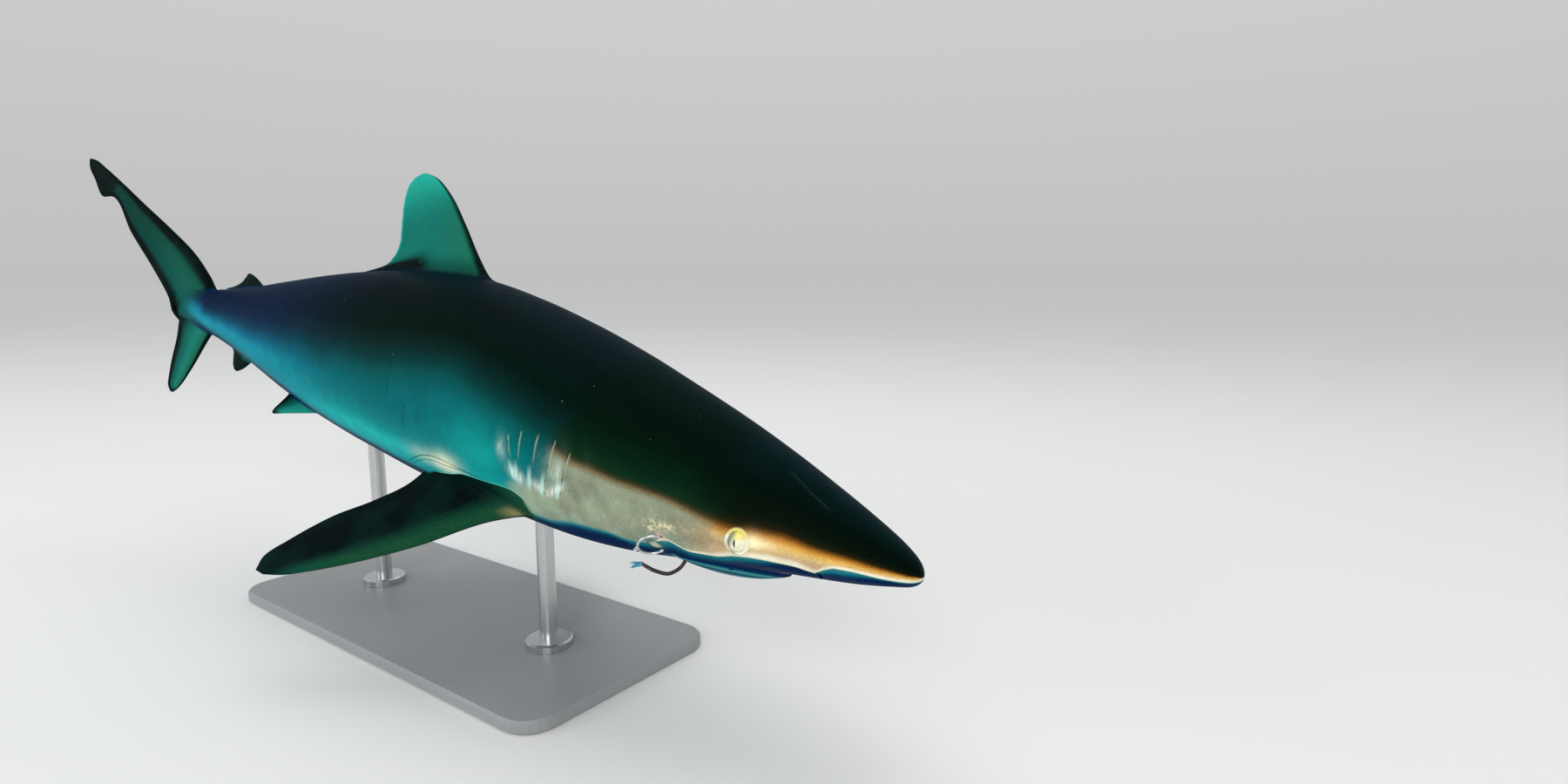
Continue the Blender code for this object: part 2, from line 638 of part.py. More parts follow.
# ---------------------------------------------------------------- stand
def make_stand(plate_finish, rod_finish, clearance):
    length, width, height = BASE_SIZE
    shape = bmesh.new()
    corners = [(sx * (length / 2 - BASE_CORNER), sy * (width / 2 - BASE_CORNER), quarter)
               for sx, sy, quarter in ((1, 1, 0), (-1, 1, 1), (-1, -1, 2), (1, -1, 3))]
    outline = []
    for x, y, quarter in corners:
        for i in range(7):
            a = math.radians(90 * quarter + 15 * i)
            place = (x + BASE_CORNER * math.cos(a), y + BASE_CORNER * math.sin(a), 0.0)
            outline.append(shape.verts.new(place))
    face = shape.faces.new(outline)
    top = bmesh.ops.extrude_face_region(shape, geom=[face])["geom"]
    raised = [v for v in top if isinstance(v, bmesh.types.BMVert)]
    bmesh.ops.translate(shape, vec=(0, 0, height), verts=raised)
    bmesh.ops.recalc_face_normals(shape, faces=shape.faces)
    mesh = bpy.data.meshes.new("stand_base")
    shape.to_mesh(mesh)
    shape.free()
    mesh.materials.append(plate_finish)
    base = bpy.data.objects.new("stand_base", mesh)
    bpy.context.scene.collection.objects.link(base)
    bevel = base.modifiers.new("soft edge", "BEVEL")
    bevel.width = BASE_EDGE
    bevel.segments = 1
    bevel.limit_method = "ANGLE"
    bevel.angle_limit = math.radians(50)

    for name, station in ROD_STATIONS.items():
        centre = SPINE.point(station, 0.0, 0.0)
        foot = height + GAP
        profile = ((COLLAR_RADIUS, foot), (COLLAR_RADIUS, foot + COLLAR_HEIGHT * 0.8),
                   (COLLAR_RADIUS - 0.003, foot + COLLAR_HEIGHT), (ROD_RADIUS, foot + COLLAR_HEIGHT),
                   (ROD_RADIUS, centre.z))
        steps = 20
        rings = [[Vector((centre.x + r * math.cos(2 * math.pi * i / steps),
                          centre.y + r * math.sin(2 * math.pi * i / steps), z)) for i in range(steps)]
                 for r, z in profile]
        rod = loft(name, rings, rod_finish)
        cut(rod, clearance)


# ---------------------------------------------------------------- whole model
def main():
    for item in list(bpy.data.objects):
        bpy.data.objects.remove(item, do_unlink=True)
    skin = material("shark_skin", (0.055, 0.120, 0.105), 0.42)
    fin_skin = material("shark_fin_skin", (0.035, 0.095, 0.075), 0.45)
    eye = material("shark_eye", (0.72, 0.66, 0.36), 0.15)
    steel = material("bright_steel", (0.70, 0.72, 0.72), 0.22, 1.0)
    dark_steel = material("tarnished_steel", (0.10, 0.075, 0.065), 0.40, 1.0)
    plastic = material("blue_sleeve", (0.10, 0.42, 0.55), 0.45)
    plate = material("stand_paint", (0.30, 0.31, 0.32), 0.45)
    rod = material("stand_steel", (0.60, 0.60, 0.60), 0.30, 1.0)
    pieces, clearance = make_body(skin)
    jaw_space = make_head_parts(pieces["head"], skin, eye)
    make_middle_fins(fin_skin, clearance)
    make_tail_fin(fin_skin, clearance)
    make_paired_fins(fin_skin, clearance)
    make_circle_hook(steel, clearance)
    make_shank_hook(dark_steel, plastic, clearance, jaw_space)
    make_stand(plate, rod, clearance)


main()
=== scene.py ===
"""Looks of the life-size silky shark on its stand.

One skin replaces every flesh node. It repeats the solids' spine, sections and fin outlines, in
metres, and adds what they leave out: fillets at the fins, eyelids, gill slits, mouth, nostrils and
markings, some of them painted light and shade. Stations, angles and fin outlines mean what they
mean in the solids: a station runs from 0 at the snout tip to 1 at the tail tip, and an angle from
-90 along the belly to 90 on the back.
"""

import math

import bmesh
import bpy
import numpy as np
from mathutils import Matrix, Vector


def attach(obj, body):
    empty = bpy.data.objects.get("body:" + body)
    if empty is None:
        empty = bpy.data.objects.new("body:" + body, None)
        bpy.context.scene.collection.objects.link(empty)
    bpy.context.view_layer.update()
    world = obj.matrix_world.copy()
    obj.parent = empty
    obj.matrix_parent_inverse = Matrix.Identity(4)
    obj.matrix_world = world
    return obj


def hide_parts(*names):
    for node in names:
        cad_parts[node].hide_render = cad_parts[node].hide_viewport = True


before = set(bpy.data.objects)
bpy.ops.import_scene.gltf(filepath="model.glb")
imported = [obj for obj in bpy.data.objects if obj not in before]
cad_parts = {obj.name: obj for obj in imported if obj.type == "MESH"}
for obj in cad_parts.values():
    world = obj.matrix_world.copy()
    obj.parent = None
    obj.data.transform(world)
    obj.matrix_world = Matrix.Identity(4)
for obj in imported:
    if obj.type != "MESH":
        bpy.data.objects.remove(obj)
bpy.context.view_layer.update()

# ---------------------------------------------------------------- the solids' dimensions, repeated
TOTAL_LENGTH = 2.2
MIDDLE_STATION = 0.36
MIDDLE_PLACE = (0.02, 0.0, 0.37)
NOSE_DOWN_DEG = 8.3
RIGHT_SIDE_UP_DEG = 12.1
SPINE_BENDS = (
    (0.0, 6.0, 12.0), (0.15, 74.0, 12.0), (0.36, -31.0, -30.0), (0.55, 23.0, 11.0), (0.7, -8.0, -5.0),
    (0.74, -110.0, -3.0), (0.8, -110.0, -2.0), (0.86, 0.0, 0.0), (1.02, 0.0, 0.0),
)
# Station, height above the spine, depth below it, half width. The last rows flatten the body into
# the tail fin.
BODY_SECTIONS = (
    (0.0, 0.0, 0.0, 0.0), (0.004, 0.0076, 0.005, 0.01), (0.012, 0.0128, 0.0074, 0.0167),
    (0.03, 0.0208, 0.0118, 0.027), (0.055, 0.0304, 0.0165, 0.0359), (0.085, 0.0408, 0.0224, 0.0438),
    (0.12, 0.051, 0.0306, 0.0499), (0.16, 0.0602, 0.0404, 0.055), (0.2, 0.0682, 0.047, 0.0576),
    (0.25, 0.0756, 0.0516, 0.0592), (0.3, 0.0805, 0.056, 0.059), (0.35, 0.0832, 0.0584, 0.057),
    (0.42, 0.079, 0.0558, 0.053), (0.48, 0.0714, 0.0506, 0.0474), (0.54, 0.0612, 0.0424, 0.0403),
    (0.6, 0.0492, 0.0332, 0.0318), (0.66, 0.0368, 0.0256, 0.023), (0.705, 0.0288, 0.0213, 0.0172),
    (0.735, 0.0242, 0.0188, 0.014), (0.762, 0.0206, 0.0162, 0.0098), (0.782, 0.0178, 0.0146, 0.0056),
    (0.797, 0.0145, 0.0128, 0.003), (0.804, 0.0105, 0.0098, 0.0017), (0.809, 0.0045, 0.0045, 0.001),
    (0.812, 0.0, 0.0, 0.0),
)
BODY_END = BODY_SECTIONS[-1][0]
JAW_FRONT, JAW_END = 0.065, 0.124
JAW_BULGE = 0.0068
EYE_STATION, EYE_ANGLE = 0.082, -9.6
EYE_RADIUS, EYE_DEPTH = 0.016, 0.0124
FIN_EDGE = 0.0009
THICKEST_SHARE = 1.0 / 3.0
ROOT_FRONT_SHARE = 0.06
# The share of its cell of the UV map that each end of a shell takes.
END_SHARE = 0.08


# ---------------------------------------------------------------- smooth curves
def smooth_curve(xs, ys):
    """A curve through the points that is smooth and doesn't overshoot them."""
    xs = np.asarray(xs, float)
    ys = np.asarray(ys, float)
    step = np.diff(xs)
    rise = np.diff(ys) / step
    slope = np.zeros_like(ys)
    slope[0], slope[-1] = rise[0], rise[-1]
    for i in range(1, len(xs) - 1):
        if rise[i - 1] * rise[i] > 0:
            before, after = 2 * step[i] + step[i - 1], step[i] + 2 * step[i - 1]
            slope[i] = (before + after) / (before / rise[i - 1] + after / rise[i])

    def value(x):
        x = np.asarray(x, float)
        i = np.clip(np.searchsorted(xs, x) - 1, 0, len(step) - 1)
        t = (x - xs[i]) / step[i]
        ease = t * t * (3 - 2 * t)
        return (ys[i] * (1 - ease) + ys[i + 1] * ease
                + step[i] * (slope[i] * t * (1 - t) ** 2 - slope[i + 1] * t * t * (1 - t)))
    return value


def smooth_line(points):
    """A smooth line through points, asked for by shares of its length, 0 to 1."""
    points = np.asarray(points, float)
    runs = np.linalg.norm(np.diff(points, axis=0), axis=1)
    share = np.concatenate([[0.0], np.cumsum(runs)]) / runs.sum()
    curves = [smooth_curve(share, points[:, axis]) for axis in range(points.shape[1])]
    return lambda t: np.stack([curve(t) for curve in curves], -1)


def ease(x, low, high):
    """0 below low, 1 above high, smooth between; low may be the larger."""
    t = np.clip((np.asarray(x, float) - low) / (high - low), 0.0, 1.0)
    return t * t * (3 - 2 * t)


def within(x, low, full, end, gone):
    """0 outside low to gone, 1 from full to end, smooth between."""
    return ease(x, low, full) * ease(x, gone, end)


def bell(x, width):
    return np.exp(-(np.asarray(x, float) / width) ** 2)


def bumps(x, *rows):
    """The sum of bell-shaped bumps, each with its height, middle and width."""
    return sum(height * bell(x - middle, width) for height, middle, width in rows)


def circle(count, first, second):
    """Points round a unit circle in the plane of two directions."""
    turn = np.linspace(0.0, 2 * math.pi, count, endpoint=False)[:, None]
    return np.cos(turn) * first + np.sin(turn) * second


def unit(vectors):
    return vectors / np.maximum(np.linalg.norm(vectors, axis=-1, keepdims=True), 1e-12)


def at_station(table, station):
    return np.interp(station, [row[0] for row in table], [row[1] for row in table])


# ---------------------------------------------------------------- the bent spine
def sum_up(values, stations):
    middle = (values[1:] + values[:-1]) / 2 * np.diff(stations)
    return np.concatenate([[0.0], np.cumsum(middle)])


# How many points are looked up at once, to save memory.
FIND_AT_ONCE = 20000


class Spine:
    """Centre and axes of the body at any station, for arrays of stations."""

    def __init__(self):
        self.stations = np.linspace(0.0, 1.02, 511)
        bends = np.radians(np.array(SPINE_BENDS))
        at = [row[0] for row in SPINE_BENDS]
        turn = -sum_up(np.interp(self.stations, at, bends[:, 1]), self.stations)
        lift = -sum_up(np.interp(self.stations, at, bends[:, 2]), self.stations)
        turn -= np.interp(MIDDLE_STATION, self.stations, turn)
        lift -= np.interp(MIDDLE_STATION, self.stations, lift)
        flat = np.cos(lift)
        forward = np.stack([flat * np.cos(turn), flat * np.sin(turn), np.sin(lift)], 1)
        left = np.stack([-np.sin(turn), np.cos(turn), 0 * turn], 1)
        up = np.cross(forward, left)
        centre = -np.stack([sum_up(forward[:, i], self.stations) for i in range(3)], 1)
        centre -= [np.interp(MIDDLE_STATION, self.stations, centre[:, i]) for i in range(3)]
        attitude = np.array(Matrix.Rotation(math.radians(NOSE_DOWN_DEG), 3, "Y")
                            @ Matrix.Rotation(math.radians(-RIGHT_SIDE_UP_DEG), 3, "X"))
        self.forward, self.left, self.up = (v @ attitude.T for v in (forward, left, up))
        self.centre = centre @ attitude.T * TOTAL_LENGTH + MIDDLE_PLACE

    def pick(self, rows, station):
        return np.stack([np.interp(station, self.stations, rows[:, i]) for i in range(3)], -1)

    def direction(self, station, back, right, up):
        return (-back * self.pick(self.forward, station) - right * self.pick(self.left, station)
                + up * self.pick(self.up, station))

    def point(self, station, right, up):
        right, up = np.asarray(right, float)[..., None], np.asarray(up, float)[..., None]
        return (self.pick(self.centre, station) - right * TOTAL_LENGTH * self.pick(self.left, station)
                + up * TOTAL_LENGTH * self.pick(self.up, station))

    def find(self, points):
        """Station, right and up of world points, the inverse of point()."""
        flat = points.reshape(-1, 3)
        station = np.empty(len(flat))
        for first in range(0, len(flat), FIND_AT_ONCE):
            part = flat[first:first + FIND_AT_ONCE]
            ahead = part @ self.forward.T - (self.centre * self.forward).sum(1)
            j = np.clip((ahead > 0).argmax(1), 1, len(self.stations) - 1)
            row = np.arange(len(part))
            before, after = ahead[row, j - 1], ahead[row, j]
            t = np.clip(before / (before - after), 0.0, 1.0)
            gap = self.stations[j] - self.stations[j - 1]
            station[first:first + FIND_AT_ONCE] = self.stations[j - 1] + t * gap
        away = flat - self.pick(self.centre, station)
        right = -(away * self.pick(self.left, station)).sum(1) / TOTAL_LENGTH
        up = (away * self.pick(self.up, station)).sum(1) / TOTAL_LENGTH
        shape = points.shape[:-1]
        return station.reshape(shape), right.reshape(shape), up.reshape(shape)


SPINE = Spine()


def section_curve(column):
    roots = np.sqrt([row[0] for row in BODY_SECTIONS])
    curve = smooth_curve(roots, [row[column] for row in BODY_SECTIONS])
    return lambda station: curve(np.sqrt(np.clip(station, 0.0, BODY_END)))


body_top, body_bottom, body_side = section_curve(1), section_curve(2), section_curve(3)


def skin_point(station, angle, side=1):
    """World point on the plain skin; side is 1 for the shark's right and -1 for its left."""
    angle = np.radians(angle)
    reach = np.where(np.sin(angle) >= 0, body_top(station), body_bottom(station))
    return SPINE.point(station, side * body_side(station) * np.cos(angle), reach * np.sin(angle))


def skin_normal(station, angle, side=1):
    step, turn = 0.0015, 1.5
    low = np.maximum(np.asarray(station, float) - step, 0.0002)
    along = skin_point(low + 2 * step, angle, side) - skin_point(low, angle, side)
    around = skin_point(station, angle + turn, side) - skin_point(station, angle - turn, side)
    return unit(np.cross(around, along) * np.asarray(side, float)[..., None])


def body_distance(points):
    """Signed distance from the plain body, its outward direction, and the station and angle."""
    station, right, up = SPINE.find(points)
    wide = np.maximum(body_side(station), 1e-4)
    tall = np.maximum(np.where(up >= 0, body_top(station), body_bottom(station)), 1e-4)
    rho = np.sqrt((right / wide) ** 2 + (up / tall) ** 2)
    slope = np.maximum(np.sqrt((right / wide ** 2) ** 2 + (up / tall ** 2) ** 2), 1e-9)
    distance = (rho - 1) * rho / slope * TOTAL_LENGTH
    side, lift = right / wide ** 2 / slope, up / tall ** 2 / slope
    out = SPINE.direction(station, 0.0, side[..., None], lift[..., None])
    angle = np.degrees(np.arctan2(up / tall, np.abs(right) / wide))
    return distance, out, station, angle


# ---------------------------------------------------------------- meshes
def add_object(name, data):
    """A new object in the scene."""
    item = bpy.data.objects.new(name, data)
    bpy.context.scene.collection.objects.link(item)
    return item


def build(name, points, faces, corners):
    """A mesh object from points, faces and one UV place for each face corner, facing outwards."""
    mesh = bpy.data.meshes.new(name)
    mesh.from_pydata(points.tolist(), [], faces)
    layer = mesh.uv_layers.new(name="OFBake")
    layer.data.foreach_set("uv", np.concatenate(corners).astype(np.float32).ravel())
    mesh.update()
    mesh.calc_loop_triangles()
    tris = np.empty(len(mesh.loop_triangles) * 3, int)
    mesh.loop_triangles.foreach_get("vertices", tris)
    a, b, c = points[tris.reshape(-1, 3).T]
    if (np.cross(a, b) * c).sum() < 0:
        mesh.flip_normals()
    mesh.shade_smooth()
    return add_object(name, mesh)


def quads_between(rows, columns, offset, cell):
    """Faces and UV corners of a grid that goes round, on its cell of the UV map."""
    r, c = np.meshgrid(np.arange(rows - 1), np.arange(columns), indexing="ij")
    r, c = r.ravel(), c.ravel()
    n = (c + 1) % columns
    corners = [r * columns + c, r * columns + n, (r + 1) * columns + n, (r + 1) * columns + c]
    u0, v0, u1, v1 = cell
    u = u0 + (u1 - u0) * np.stack([c, c + 1, c + 1, c], 1) / columns
    v = v0 + (v1 - v0) * np.stack([r, r, r + 1, r + 1], 1) / (rows - 1)
    return (np.stack(corners, 1) + offset).tolist(), np.stack([u, v], -1).reshape(-1, 2)


def add_face(faces, places, left, right, corners, flip=False):
    """Add a face from corners of (point, share from left to right, height on the UV map)."""
    corners = corners[::-1] if flip else corners
    faces.append([point for point, _, _ in corners])
    places.append(np.array([(left + (right - left) * share, v) for _, share, v in corners]))


def shell(name, grid, cell, ends="strip"):
    """A closed shell through rows of points that go round; its ends are strips, fans or joined."""
    rows, columns = grid.shape[:2]
    points = grid.reshape(-1, 3)
    u0, v0, u1, v1 = cell
    pad = END_SHARE * (v1 - v0)
    inner = (u0, v0 + pad, u1, v1 - pad)
    if ends == "ring":
        faces, corners = quads_between(rows + 1, columns, 0, inner)
        return build(name, points, (np.array(faces) % (rows * columns)).tolist(), [corners])
    faces, corners = quads_between(rows, columns, 0, inner)
    places = [corners]
    half = columns // 2
    for row, flip, low, high in ((0, True, v0 + pad, v0), (rows - 1, False, v1 - pad, v1)):
        first = row * columns
        if ends == "strip":
            for k in range(half - 1):
                add_face(faces, places, u0, u1,
                         [(first + k, k / half, low), (first + k + 1, (k + 1) / half, low),
                          (first + columns - 2 - k, (k + 1) / half, high),
                          (first + columns - 1 - k, k / half, high)], flip)
            continue
        for k in range(columns):
            add_face(faces, places, u0, u1,
                     [(first + k, k / columns, low), (first + (k + 1) % columns, (k + 1) / columns, low),
                      (len(points), (k + 0.5) / columns, high)], flip)
        points = np.concatenate([points, [grid[row].mean(0)]])
    return build(name, points, faces, places)


def combine(item, other, operation):
    """Join other onto item, or cut it away, and drop other."""
    step = item.modifiers.new(operation, "BOOLEAN")
    step.operation = operation
    step.solver = "MANIFOLD"
    step.object = other
    view = bpy.context.evaluated_depsgraph_get()
    made = bpy.data.meshes.new_from_object(item.evaluated_get(view))
    item.modifiers.clear()
    old = item.data
    item.data = made
    made.name = item.name
    bpy.data.meshes.remove(old)
    bpy.data.objects.remove(other)


# ---------------------------------------------------------------- relief of the body
# Gill slits: station and angle of the top and the bottom of each, from the front.
GILL_SLITS = (
    ((0.18, 8.6), (0.1806, -21.0)), ((0.1915, 11.0), (0.1917, -22.5)), ((0.2037, 10.3), (0.2005, -21.0)),
    ((0.2157, 8.6), (0.21, -21.0)), ((0.224, 5.0), (0.2125, -18.5)),
)
GILL_BOW = -0.0011
# Distances, in metres, that stand for "far from the gill slits, the mouth or the eyes".
FAR_FROM_GILLS, FAR_FROM_LINE, FAR_FROM_MOUTH, FAR_FROM_EYES = 0.05, 0.1, 0.05, 0.2
MOUTH_FRONT, MOUTH_CORNER, MOUTH_HALF_WIDTH = 0.0655, 0.116, 0.0285
MOUTH_ROUNDING = 0.45
NOSTRIL_OUTER, NOSTRIL_INNER = (0.0443, -36.0), (0.0452, -54.0)
# The keel: station and angle of the edge between the lit side and the underside.
KEEL = (
    (0.0, -18.0), (0.012, -15.0), (0.028, -8.5), (0.036, -10.0), (0.041, -19.0), (0.0457, -31.0),
    (0.055, -25.5), (0.07, -26.5), (0.083, -31.0), (0.095, -40.0), (0.107, -41.0), (0.1185, -31.0),
    (0.129, -40.0), (0.14, -42.0), (0.155, -37.0), (0.175, -38.0), (0.2, -45.0), (0.42, -47.0),
    (0.48, -44.0), (0.53, -35.0), (0.64, -30.0), (0.72, -22.0), (0.76, -8.0), (0.84, 0.0),
)
# Station and angle of the lower edge of the dark back.
BACK_EDGE = (
    (0.0, 22.0), (0.006, 13.0), (0.03, 12.0), (0.045, 10.5), (0.062, 12.5), (0.074, 10.5), (0.086, 7.0),
    (0.105, 6.4), (0.13, 7.4), (0.155, 7.4), (0.179, 9.0), (0.2, 13.5), (0.249, 16.0), (0.286, 18.0),
    (0.335, 14.0), (0.38, 9.0), (0.56, 7.0), (0.62, 7.0), (0.72, 6.0), (0.745, 20.0), (0.84, 50.0),
)
# Station and angle of the upper of the two folds over the pectoral fin's root.
AXIL_FOLD = (
    (0.21, -32.0), (0.22, -28.5), (0.245, -32.0), (0.29, -30.5), (0.305, -33.0), (0.32, -39.0),
    (0.35, -56.0),
)
# Station and angle of the line where the dark pectoral fin ends and the pale axil begins.
FIN_LINE = (
    (0.2, -50.0), (0.212, -33.0), (0.22, -30.0), (0.245, -33.0), (0.265, -35.0), (0.28, -40.0),
    (0.3, -45.5), (0.32, -49.0),
)
HOOK_TEAR, HOOK_BULGE = (0.1213, -28.5), (0.1262, -40.5)


def held_curve(rows):
    """A smooth curve through rows of (station, angle) that keeps its end angles outside them."""
    curve = smooth_curve(*zip(*rows))
    return lambda station: curve(np.clip(station, rows[0][0], rows[-1][0]))


keel_angle, back_edge = smooth_curve(*zip(*KEEL)), smooth_curve(*zip(*BACK_EDGE))
axil_fold, fin_line = held_curve(AXIL_FOLD), held_curve(FIN_LINE)


def arc_metres(station, angle):
    """Metres of skin for each degree round the body."""
    turn = np.radians(angle)
    tall = np.where(angle >= 0, body_top(station), body_bottom(station))
    run = np.sqrt((body_side(station) * np.sin(turn)) ** 2 + (tall * np.cos(turn)) ** 2)
    return np.radians(run * TOTAL_LENGTH)


def spot(station, angle, centre, reach, slant=0.0):
    """1 at a place on the skin, fading over reach (along, round) in metres."""
    along = (station - centre[0]) * TOTAL_LENGTH
    scale = np.radians(float(body_side(centre[0])) * TOTAL_LENGTH * 0.93)
    across = (angle - centre[1]) * scale
    along = along - slant * across
    return np.exp(-(along / reach[0]) ** 2 - (across / reach[1]) ** 2)


def gill_station(slit, share):
    """Station along a slit, from its top at share 0 to its bottom at 1."""
    (top, _), (bottom, _) = slit
    return top + (bottom - top) * share + GILL_BOW * np.sin(math.pi * share)


def gill_gap(slit, station, angle):
    """Metres behind a gill slit and the share along it, 0 at the top to 1."""
    share = (slit[0][1] - angle) / (slit[0][1] - slit[1][1])
    return (station - gill_station(slit, np.clip(share, 0.0, 1.0))) * TOTAL_LENGTH, share


def gill_place(station, angle):
    """The same for the nearest gill slit."""
    behind, along = np.full(station.shape, FAR_FROM_GILLS), np.full(station.shape, -1.0)
    for slit in GILL_SLITS:
        gap, share = gill_gap(slit, station, angle)
        near = np.abs(gap) < np.abs(behind)
        behind, along = np.where(near, gap, behind), np.where(near, share, along)
    return behind, along


def mouth_half_width(station):
    run = np.clip((station - MOUTH_FRONT) / (MOUTH_CORNER - MOUTH_FRONT), 0.0, 1.0)
    return MOUTH_HALF_WIDTH * run ** MOUTH_ROUNDING


def jaw_hang(station):
    run = (station - JAW_FRONT) / (JAW_END - JAW_FRONT)
    inside = (run > 0) & (run < 1)
    wave = np.sin(math.pi * np.clip(0.06 + 0.94 * run, 0.0, 1.0))
    return np.where(inside, JAW_BULGE * np.abs(wave) ** 0.7, 0.0) * ease(run, -0.01, 0.05)


def mouth_reach(station, right):
    """Distance to the mouth line in metres: below 0 on the jaw, above 0 on the snout."""
    run = np.linspace(0.0, 1.0, 240) ** 2
    line = np.stack([MOUTH_FRONT + (MOUTH_CORNER - MOUTH_FRONT) * run,
                     MOUTH_HALF_WIDTH * run ** MOUTH_ROUNDING], 1)
    here = np.stack([station, np.abs(right)], -1)
    far = np.full(station.shape, FAR_FROM_LINE)
    near = (station > 0.04) & (station < 0.14)
    far[near] = np.linalg.norm(here[near][:, None, :] - line[None], axis=2).min(1) * TOTAL_LENGTH
    jaw = (station > MOUTH_FRONT) & (np.abs(right) < mouth_half_width(station))
    return np.where(jaw, -far, far)


# Bumps across an edge: height, middle and width in metres; and spans of stations or shares, from
# where a feature starts and is full to where it ends and is gone.
UPPER_LIP, LOWER_LIP = (0.0015, 0.0035, 0.003), (-0.0022, -0.0012, 0.0026)
JAW_ANGLES = (-25.0, -45.0)
HEAD_KEEL, HEAD_SPAN = ((0.0017, 0.003, 0.0055), (-0.0017, -0.0085, 0.007)), (0.036, 0.052, 0.112, 0.128)
SNOUT_KEEL, SNOUT_SPAN = ((0.001, 0.0015, 0.003), (-0.0014, -0.006, 0.005)), (0.006, 0.014, 0.04, 0.046)
NOSTRIL_SCOOP, NOSTRIL_REACH, NOSTRIL_RISE, NOSTRIL_FALL = (0.0448, -33.0), (0.003, 0.006), 0.0012, 0.001
GILL_FLAP, GILL_DROP, GILL_SPAN = (0.0013, 0.0, 0.0085), (-0.0013, 0.0, 0.005), (-0.1, 0.15, 0.88, 1.1)
FOLD_BUMPS, FOLD_SPAN = ((0.0011, 0.006, 0.006), (-0.0009, 0.0, 0.004)), (0.208, 0.222, 0.33, 0.35)
# A low brow over the eye and shallow hollows behind and ahead of it: height, and the middle and
# width of it, in metres behind the eye and then in metres above it.
EYE_BUMPS = ((0.0018, 0.0, 0.03, 0.018, 0.012), (-0.0012, 0.036, 0.018, -0.004, 0.016),
             (-0.0008, -0.034, 0.016, 0.0, 0.012))
# Swollen flesh inside the ring hook and round the tear it goes through, and the tear.
HOOK_BUMPS = ((0.003, HOOK_BULGE, (0.0085, 0.008)), (0.0012, HOOK_TEAR, (0.006, 0.0065)),
              (-0.0034, HOOK_TEAR, (0.002, 0.0038)))
# The ridge between the dorsal fins, and the pits where the tail fin starts.
RIDGE_SPAN, RIDGE_HEIGHT, RIDGE_WIDTH_DEG = (0.455, 0.485, 0.65, 0.668), 0.0016, 4.5
PIT_STATION = 0.7405
TAIL_PITS = ((-0.0042, 0.0, 0.006, 90.0, 40.0), (-0.0024, 0.004, 0.006, -90.0, 38.0))


def mouth_relief(station, angle):
    """Jaw, lips and the furrow along the mouth."""
    right = body_side(station) * np.cos(np.radians(angle))
    half = np.maximum(mouth_half_width(station), 1e-5)
    jaw = jaw_hang(station) * TOTAL_LENGTH * np.clip(1 - (right / half) ** 2, 0.0, 1.0)
    reach = mouth_reach(station, right)
    lips = bumps(reach, UPPER_LIP) * (reach > 0) + bumps(reach, LOWER_LIP) * (reach < 0)
    return ease(angle, *JAW_ANGLES) * (jaw + lips)


def keel_relief(station, angle):
    """A crisp keel along the head's side, flattened below, and scooped ahead of the nostril."""
    above = (angle - keel_angle(station)) * arc_metres(station, angle)
    rise = within(station, *HEAD_SPAN) * bumps(above, *HEAD_KEEL)
    rise += within(station, *SNOUT_SPAN) * bumps(above, *SNOUT_KEEL)
    nostril = spot(station, angle, NOSTRIL_SCOOP, NOSTRIL_REACH)
    return rise + nostril * np.where(station > NOSTRIL_SCOOP[0], NOSTRIL_RISE, -NOSTRIL_FALL)


def gill_relief(station, angle):
    """Each flap swells towards its slit and the skin drops behind it."""
    behind, share = gill_place(station, angle)
    swell = np.where(behind < 0, bumps(behind, GILL_FLAP), bumps(behind, GILL_DROP))
    return within(share, *GILL_SPAN) * swell


def fold_relief(station, angle):
    above = (angle - axil_fold(station)) * arc_metres(station, angle)
    return within(station, *FOLD_SPAN) * bumps(above, *FOLD_BUMPS)


def relief(station, angle, side):
    """How far the skin stands out from the plain body, in metres."""
    rise = mouth_relief(station, angle) + keel_relief(station, angle) + gill_relief(station, angle)
    rise += fold_relief(station, angle)
    behind = (station - EYE_STATION) * TOTAL_LENGTH
    above = (angle - EYE_ANGLE) * arc_metres(station, angle)
    for height, *along, middle, width in EYE_BUMPS:
        rise += bumps(behind, (height, *along)) * bell(above - middle, width)
    for height, place, reach in HOOK_BUMPS:
        rise += (np.asarray(side) > 0) * height * spot(station, angle, place, reach)
    rise += RIDGE_HEIGHT * within(station, *RIDGE_SPAN) * bell(angle - 90.0, RIDGE_WIDTH_DEG)
    pit = (station - PIT_STATION) * TOTAL_LENGTH
    for height, *along, middle, width in TAIL_PITS:
        rise += bumps(pit, (height, *along)) * bell(angle - middle, width)
    return rise


# ---------------------------------------------------------------- body skin
# Spacing of the rings in metres, by station, and how many points go round.
RING_SPACING = (
    (0.0, 0.0006), (0.006, 0.001), (0.022, 0.0019), (0.128, 0.0019), (0.138, 0.0038), (0.17, 0.0038),
    (0.175, 0.0018), (0.229, 0.0018), (0.24, 0.004), (0.262, 0.006), (0.33, 0.007), (0.37, 0.0135),
    (0.69, 0.012), (0.728, 0.004), (0.752, 0.004), (0.79, 0.006), (BODY_END, 0.003),
)
FINE_ROUND, FINE_END = 220, 0.248
LOW_CROWDING_END, CROWDING_FADE, CROWDING = 18.0, 14.0, 1.1


def ring_stations():
    at = np.linspace(0.0, BODY_END, 4000)
    count = sum_up(TOTAL_LENGTH / at_station(RING_SPACING, at), at)
    rings = np.interp(np.linspace(0.0, count[-1], int(count[-1])), count, at)
    return rings[1:-1]


def round_angles():
    """Angles from the belly up the right side, over the back and down the left, crowded below."""
    at = np.linspace(-90.0, 90.0, 721)
    weight = 1.0 + CROWDING * ease(at, LOW_CROWDING_END + CROWDING_FADE, LOW_CROWDING_END)
    total = sum_up(weight, at)
    half = np.interp(np.linspace(0.0, total[-1], FINE_ROUND // 2 + 1), total, at)
    return np.concatenate([half, 180.0 - half[-2:0:-1]])


